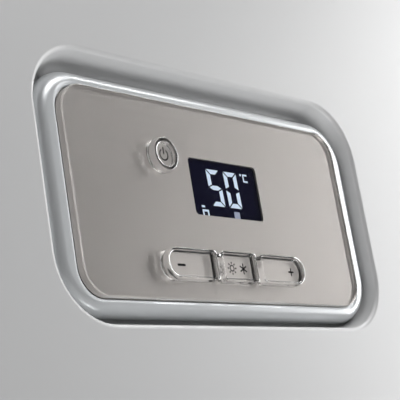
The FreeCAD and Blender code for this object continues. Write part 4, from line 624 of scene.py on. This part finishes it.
# The display is a black glass panel that sits on the circuit board, behind the window of the plate.
# Its lit segments are pale blue-white: two figures, a degree sign with a C, a tap and a small bar.
glass = Finish("display_glass")
dust = glass.noise(scale=1500, detail=2)
glass.set(
    Base_Color=glass.between(dust, (0.003, 0.003, 0.014), (0.005, 0.005, 0.02)),
    Roughness=0.08 + 0.04 * dust,
    Specular_IOR_Level=0.05,
)
panel = block_between("display_panel", display_low, display_high)
bevel(panel, runs_in, window_corner, steps=4)
bevel(panel, lies_at(display_low.y), window_corner / 4, steps=3)
smooth(panel)
fit(panel, glass, "cover", "display_glass", "display_module")

lit = Finish("lit_segment")
glow = lit.noise(scale=800, detail=1)
lit.set(
    Base_Color=(0.04, 0.05, 0.06, 1),
    Emission_Color=lit.between(glow, (0.60, 0.72, 0.88), (0.66, 0.78, 0.93)),
    Emission_Strength=0.95,
    Roughness=0.4,
)
digit_tall = 0.0146
digit_wide = 0.0077
upright_wide = 0.0021
level_wide = 0.0018
segment_gap = 0.0004
segment_depth = 0.00008
segment_y = display_low.y - segment_depth / 4
lean_share = -0.05
figure_segments = {"5": "afgcd", "0": "abcdef"}


def segment(low_x, high_x, low_z, high_z, cuts=()):
    """One lit bar, with its ends cut off along slanted lines. A cut is a point and an outward way."""
    bar = block_between("segment", (low_x, segment_y, low_z), (high_x, segment_y + segment_depth, high_z))
    for (x, z), (way_x, way_z) in cuts:
        outward = Vector((way_x, 0, way_z)).normalized()
        pick(bar, "FACE", lambda points: True)
        bpy.ops.mesh.bisect(plane_co=(x, segment_y, z), plane_no=outward, use_fill=True, clear_outer=True)
        bpy.ops.object.mode_set(mode="OBJECT")
    return bar


def figure(sign, x, z):
    """The lit bars of one seven-segment figure, with its lower left corner at x and z."""
    right, top, middle = x + digit_wide, z + digit_tall, z + digit_tall / 2
    across, along, gap = upright_wide, level_wide, segment_gap
    half = along / 2
    ends = {
        "top_left": ((x + gap, top), (-along, -across)),
        "top_right": ((right - gap, top), (along, -across)),
        "low_left": ((x + gap, z), (-along, across)),
        "low_right": ((right - gap, z), (along, across)),
    }
    bars = []
    for name in figure_segments[sign]:
        if name == "a":
            bars.append(segment(x, right, top - along, top, [ends["top_left"], ends["top_right"]]))
        elif name == "d":
            bars.append(segment(x, right, z, z + along, [ends["low_left"], ends["low_right"]]))
        elif name == "g":
            cuts = [((x + gap, middle), (-half, way * across)) for way in (-1, 1)]
            cuts += [((right - gap, middle), (half, way * across)) for way in (-1, 1)]
            bars.append(segment(x, right, middle - half, middle + half, cuts))
        else:
            at_left, at_top = name in "ef", name in "bf"
            way_x, way_z = (1 if at_left else -1), (1 if at_top else -1)
            outer = x if at_left else right
            far = top if at_top else z
            low, high = (middle, top) if at_top else (z, middle)
            side = (x, x + across) if at_left else (right - across, right)
            cuts = [
                ((outer, far - way_z * gap), (way_x * along, way_z * across)),
                ((outer, middle + way_z * gap), (way_x * half, -way_z * across)),
            ]
            bars.append(segment(*side, low, high, cuts))
    return bars


five_x = -0.0048
nought_x = 0.0053
figure_drop = 0.0003
unit_x = 0.0171
unit_rise = 0.0110
unit_tall = 0.0034
unit_wide = 0.0027
unit_line = 0.0007
degree_x = 0.0155
degree_size = 0.0009
tap_x = -0.0112
tap_drop = 0.0046
tap_wide = 0.0036
tap_tall = 0.0016
tap_line = 0.0008
lit_bars = figure("5", five_x, panel_z - figure_drop) + figure("0", nought_x, panel_z - figure_drop)
unit_z = panel_z + unit_rise
unit_right = unit_x + unit_wide
unit_inner = unit_x + unit_line
unit_top = unit_z + unit_tall
degree_low = unit_top - degree_size
lit_bars += [
    segment(unit_x, unit_inner, unit_z, unit_top),
    segment(unit_inner, unit_right, unit_top - unit_line, unit_top),
    segment(unit_inner, unit_right, unit_z, unit_z + unit_line),
    segment(degree_x, degree_x + degree_size, degree_low, degree_low + degree_size),
]
tap_z = panel_z - tap_drop
tap_top = tap_z + tap_tall
tap_right = tap_x + tap_wide
spout_low = tap_top + tap_line * 2
lit_bars += [
    segment(tap_x, tap_right, tap_top, tap_top + tap_line),
    segment(tap_x, tap_x + tap_line, tap_z, tap_top),
    segment(tap_right - tap_line, tap_right, tap_z, tap_top),
    segment(tap_x, tap_x + tap_wide / 2, spout_low, spout_low + tap_line),
]
lit_figures = join("lit_figures", lit_bars)
lean = Matrix.Identity(4)
lean[0][2] = lean_share
centre = Vector((0, 0, panel_z))
lit_figures.data.transform(Matrix.Translation(centre) @ lean @ Matrix.Translation(-centre))
smooth(lit_figures, degrees=30)
fit(lit_figures, lit, "cover", "display_glass")

dim = Finish("dim_segment")
dim_glow = dim.noise(scale=900, detail=1)
dim.set(
    Base_Color=dim.between(dim_glow, (0.16, 0.18, 0.25), (0.19, 0.21, 0.28)),
    Emission_Color=dim.between(dim_glow, (0.2, 0.23, 0.33), (0.24, 0.27, 0.37)),
    Emission_Strength=0.6,
    Roughness=0.4,
)
mark_x = 0.0074
mark_wide = 0.0034
mark_low_drop = 0.0046
mark_top_drop = 0.0018
mark = segment(mark_x, mark_x + mark_wide, panel_z - mark_low_drop, panel_z - mark_top_drop)
bevel(mark, runs_in, segment_gap, steps=2)
mark.name = "dim_bar"
smooth(mark, degrees=30)
fit(mark, dim, "cover", "display_glass")

# The rest of the casing is folded sheet: painted sides, and galvanised sheet at the back, top and bottom.
# The sealed chamber and the fan's scroll are galvanised too. The zinc coat shows its flat crystals.


def dress(finish, *names):
    """Gives CAD nodes their finish."""
    for name in names:
        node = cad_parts[name]
        node.data.materials.clear()
        node.data.materials.append(finish.material)


zinc = Finish("zinc_spangle")
crystal = zinc.node("ShaderNodeTexVoronoi", {"feature": "F1"}, {"Vector": zinc.place, "Scale": 60.0}, "Color")
shade = zinc.node("ShaderNodeRGBToBW", {}, {"Color": crystal})
zinc.set(
    Base_Color=zinc.between(shade, (0.47, 0.485, 0.5), (0.6, 0.615, 0.63)),
    Roughness=0.3 + 0.16 * shade,
    Metallic=0.85,
)
dress(paint, "left_side_panel", "right_side_panel")
dress(zinc, "back_plate", "top_panel", "bottom_panel", "sealed_chamber", "chamber_cover", "fan_housing")

# Steel, copper and brass inside: brushed stainless burner parts, copper pipes with a light tarnish,
# brass blocks as they come from the mould, and plated screws.


def worn(name, first, second, rough, metal, cloud, grain, depth):
    """A finish with a cloudy colour and a fine grain, for cast, moulded and coated pieces."""
    finish = Finish(name)
    patches = finish.noise(scale=cloud, detail=3)
    fine = finish.noise(scale=grain, detail=2)
    finish.set(
        Base_Color=finish.between(patches, first, second),
        Roughness=rough + 0.12 * fine,
        Metallic=metal,
        Normal=finish.bump(fine, strength=0.25, depth=depth),
    )
    return finish


stainless = Finish("brushed_stainless")
lines = stainless.noise(scale=700, detail=2, stretch=(1, 1, 0.03))
stainless.set(
    Base_Color=stainless.between(lines, (0.5, 0.5, 0.49), (0.62, 0.62, 0.61)),
    Roughness=0.28 + 0.14 * lines,
    Metallic=1.0,
)
copper = worn(
    "drawn_copper", (0.62, 0.27, 0.15), (0.75, 0.38, 0.24),
    rough=0.26, metal=1.0, cloud=40, grain=900, depth=0.0001,
)
brass = worn(
    "cast_brass", (0.52, 0.37, 0.15), (0.64, 0.48, 0.22),
    rough=0.34, metal=1.0, cloud=60, grain=1200, depth=0.0003,
)
iron = worn(
    "cast_iron_paint", (0.028, 0.028, 0.03), (0.045, 0.045, 0.048),
    rough=0.5, metal=0.3, cloud=90, grain=900, depth=0.0004,
)
die_cast = worn(
    "die_cast_alloy", (0.52, 0.53, 0.54), (0.62, 0.63, 0.64),
    rough=0.38, metal=0.9, cloud=50, grain=1400, depth=0.0002,
)
plated = worn(
    "plated_screw", (0.6, 0.6, 0.58), (0.7, 0.7, 0.67),
    rough=0.25, metal=1.0, cloud=300, grain=2500, depth=0.0001,
)
dress(stainless, "combustion_chamber", "burner_tray", "burner_blades", "flue_hood")
dress(stainless, "diverter_spindle", "plate_heat_exchanger")
dress(copper, "heat_exchanger_fins", "heat_exchanger_tubes", "flow_pipe", "return_pipe")
dress(copper, "gas_pipe", "tap_pipes", "pipe_tails")
dress(brass, "flow_block", "return_block", "union_nuts", "relief_valve")
dress(iron, "pump_body", "fan_motor")
dress(die_cast, "gas_manifold", "gas_valve", "flue_turret", "air_collar", "fan_impeller")
dress(plated, "cover_screws", "housing_screws", "chamber_screws")

# Moulded, painted and ceramic pieces: grained black and grey plastic, the red vessel, the red knob
# and needle, the fibre boards, the glazed electrodes, the circuit board and the sight glass.
black = worn(
    "black_grained_plastic", (0.02, 0.02, 0.022), (0.03, 0.03, 0.033),
    rough=0.48, metal=0.0, cloud=30, grain=1600, depth=0.0002,
)
grey = worn(
    "grey_grained_plastic", (0.2, 0.205, 0.215), (0.24, 0.245, 0.255),
    rough=0.45, metal=0.0, cloud=30, grain=1600, depth=0.0002,
)
red_paint = worn(
    "red_enamel", (0.42, 0.025, 0.02), (0.5, 0.035, 0.028),
    rough=0.3, metal=0.0, cloud=12, grain=700, depth=0.0002,
)
red = worn(
    "red_moulding", (0.5, 0.02, 0.018), (0.58, 0.03, 0.025),
    rough=0.32, metal=0.0, cloud=60, grain=1500, depth=0.0001,
)
fibre = worn(
    "ceramic_fibre", (0.72, 0.7, 0.64), (0.82, 0.8, 0.75),
    rough=0.85, metal=0.0, cloud=120, grain=700, depth=0.0006,
)
glazed = worn(
    "glazed_ceramic", (0.8, 0.79, 0.75), (0.86, 0.85, 0.82),
    rough=0.15, metal=0.0, cloud=80, grain=900, depth=0.0001,
)
resin = worn(
    "green_board", (0.015, 0.11, 0.05), (0.025, 0.15, 0.07),
    rough=0.35, metal=0.0, cloud=200, grain=1200, depth=0.0001,
)
dress(black, "control_housing", "tact_switches", "diverter_motor", "pump_impeller")
dress(black, "pressure_gauge", "cable_gland")
dress(grey, "air_pressure_switch", "pump_head", "main_control_box")
dress(red_paint, "expansion_vessel")
dress(red, "relief_knob", "gauge_needle")
dress(fibre, "insulation_boards")
dress(glazed, "ignition_electrodes")
dress(resin, "control_board")
dress(clear_plastic("sight_glass", tint=(0.85, 0.88, 0.86), gloss=0.02), "sight_glass")

# The studio has a pale floor far below the boiler, and a sky that is white behind it and dark before it,
# since the polished panel faces a dark room. The camera sees the sky white all round.
# Five soft lamps are aimed at the panel: two from above, one from each side and one from below.
floor_drop = 1.2
floor_half = 6
floor_glow = 0.4
sky_front = 0.03
sky_white = 1
sky_turn_from = -0.3
sky_turn_to = 0.4
clear_selection()
bpy.ops.mesh.primitive_plane_add(size=2 * floor_half, location=(0, 0, cad_box[0].z - floor_drop))
floor = bpy.context.object
floor.name = "studio_floor"
bpy.ops.object.transform_apply(location=True, rotation=True, scale=True)
pale = Finish("studio_floor")
in_view = pale.node("ShaderNodeLightPath", {}, {}, "Is Camera Ray")
pale.set(
    Base_Color=(0.8, 0.8, 0.8, 1),
    Roughness=0.9,
    Emission_Color=pale.between(in_view, [0] * 3, [floor_glow] * 3),
    Emission_Strength=1,
)
floor.data.materials.append(pale.material)

world = bpy.data.worlds.new("studio")
bpy.context.scene.world = world
world.use_nodes = True
sky = NodeTree(world.node_tree)
way = sky.node("ShaderNodeTexCoord", {}, {}, "Generated")
way_back = sky.node("ShaderNodeSeparateXYZ", {}, {"Vector": way}, "Y")
lit_half = sky.node("ShaderNodeMapRange", {"interpolation_type": "SMOOTHSTEP"}, {
    "Value": way_back,
    "From Min": sky_turn_from,
    "From Max": sky_turn_to,
    "To Min": sky_front,
    "To Max": sky_white,
}, "Result")
seen = sky.node("ShaderNodeLightPath", {}, {}, "Is Camera Ray")
strength = sky.node("ShaderNodeMix", {}, {"Factor": seen, "A": lit_half, "B": sky_white}, "Result")
backdrop = world.node_tree.nodes["Background"]
sky.feed(backdrop.inputs["Color"], (1, 1, 1, 1))
sky.feed(backdrop.inputs["Strength"], strength)

panel_spot = Vector((0, front_y, panel_z))


def lamp(name, offset, wide, tall, watts):
    """A soft rectangular lamp that stands at an offset from the panel and points at it."""
    place = panel_spot + Vector(offset)
    clear_selection()
    bpy.ops.object.light_add(type="AREA", location=place)
    light = bpy.context.object
    light.name = name
    light.data.shape = "RECTANGLE"
    light.data.size = wide
    light.data.size_y = tall
    light.data.energy = watts
    light.rotation_euler = (panel_spot - place).to_track_quat("-Z", "Y").to_euler()


lamp("upper_softbox", offset=(0.90, -0.14, 1.16), wide=0.6, tall=0.6, watts=13)
lamp("crown_softbox", offset=(0.40, -0.95, 1.15), wide=0.8, tall=0.6, watts=9)
lamp("right_softbox", offset=(0.80, -0.30, 0.10), wide=0.25, tall=0.7, watts=4.3)
lamp("left_softbox", offset=(-1.6, -0.42, 0.4), wide=0.8, tall=1.6, watts=9.5)
lamp("lower_softbox", offset=(0.3, -0.45, -1.25), wide=0.8, tall=0.8, watts=9)

# The camera stands to the left of the panel and below it, and looks up at it with a long lens.
# Its angles, distance and lens are fitted to the straight edges and corners of the panel.
camera_yaw = math.radians(50.34)
camera_pitch = math.radians(14.55)
camera_roll = math.radians(-9.54)
camera_reach = 0.4645
focal_pixels = 1250
frame_pixels = 400
sensor_wide = 36
near_limit = 0.01
aim_x = -0.01468
aim_z = 0.00027
ahead = Vector((
    math.sin(camera_yaw) * math.cos(camera_pitch),
    math.cos(camera_yaw) * math.cos(camera_pitch),
    math.sin(camera_pitch),
))
level = Vector((math.cos(camera_yaw), -math.sin(camera_yaw), 0))
upward = level.cross(ahead)
across = math.cos(camera_roll) * level + math.sin(camera_roll) * upward
above = -math.sin(camera_roll) * level + math.cos(camera_roll) * upward
camera_spot = Vector((aim_x, lens_low.y, panel_z + aim_z)) - ahead * camera_reach
camera_data = bpy.data.cameras.new("photo_camera")
camera_data.sensor_width = sensor_wide
camera_data.lens = sensor_wide * focal_pixels / frame_pixels
camera_data.clip_start = near_limit
camera = bpy.data.objects.new("photo_camera", camera_data)
bpy.context.scene.collection.objects.link(camera)
turn = Matrix((across, above, -ahead)).transposed().to_4x4()
camera.matrix_world = Matrix.Translation(camera_spot) @ turn
bpy.context.scene.camera = camera
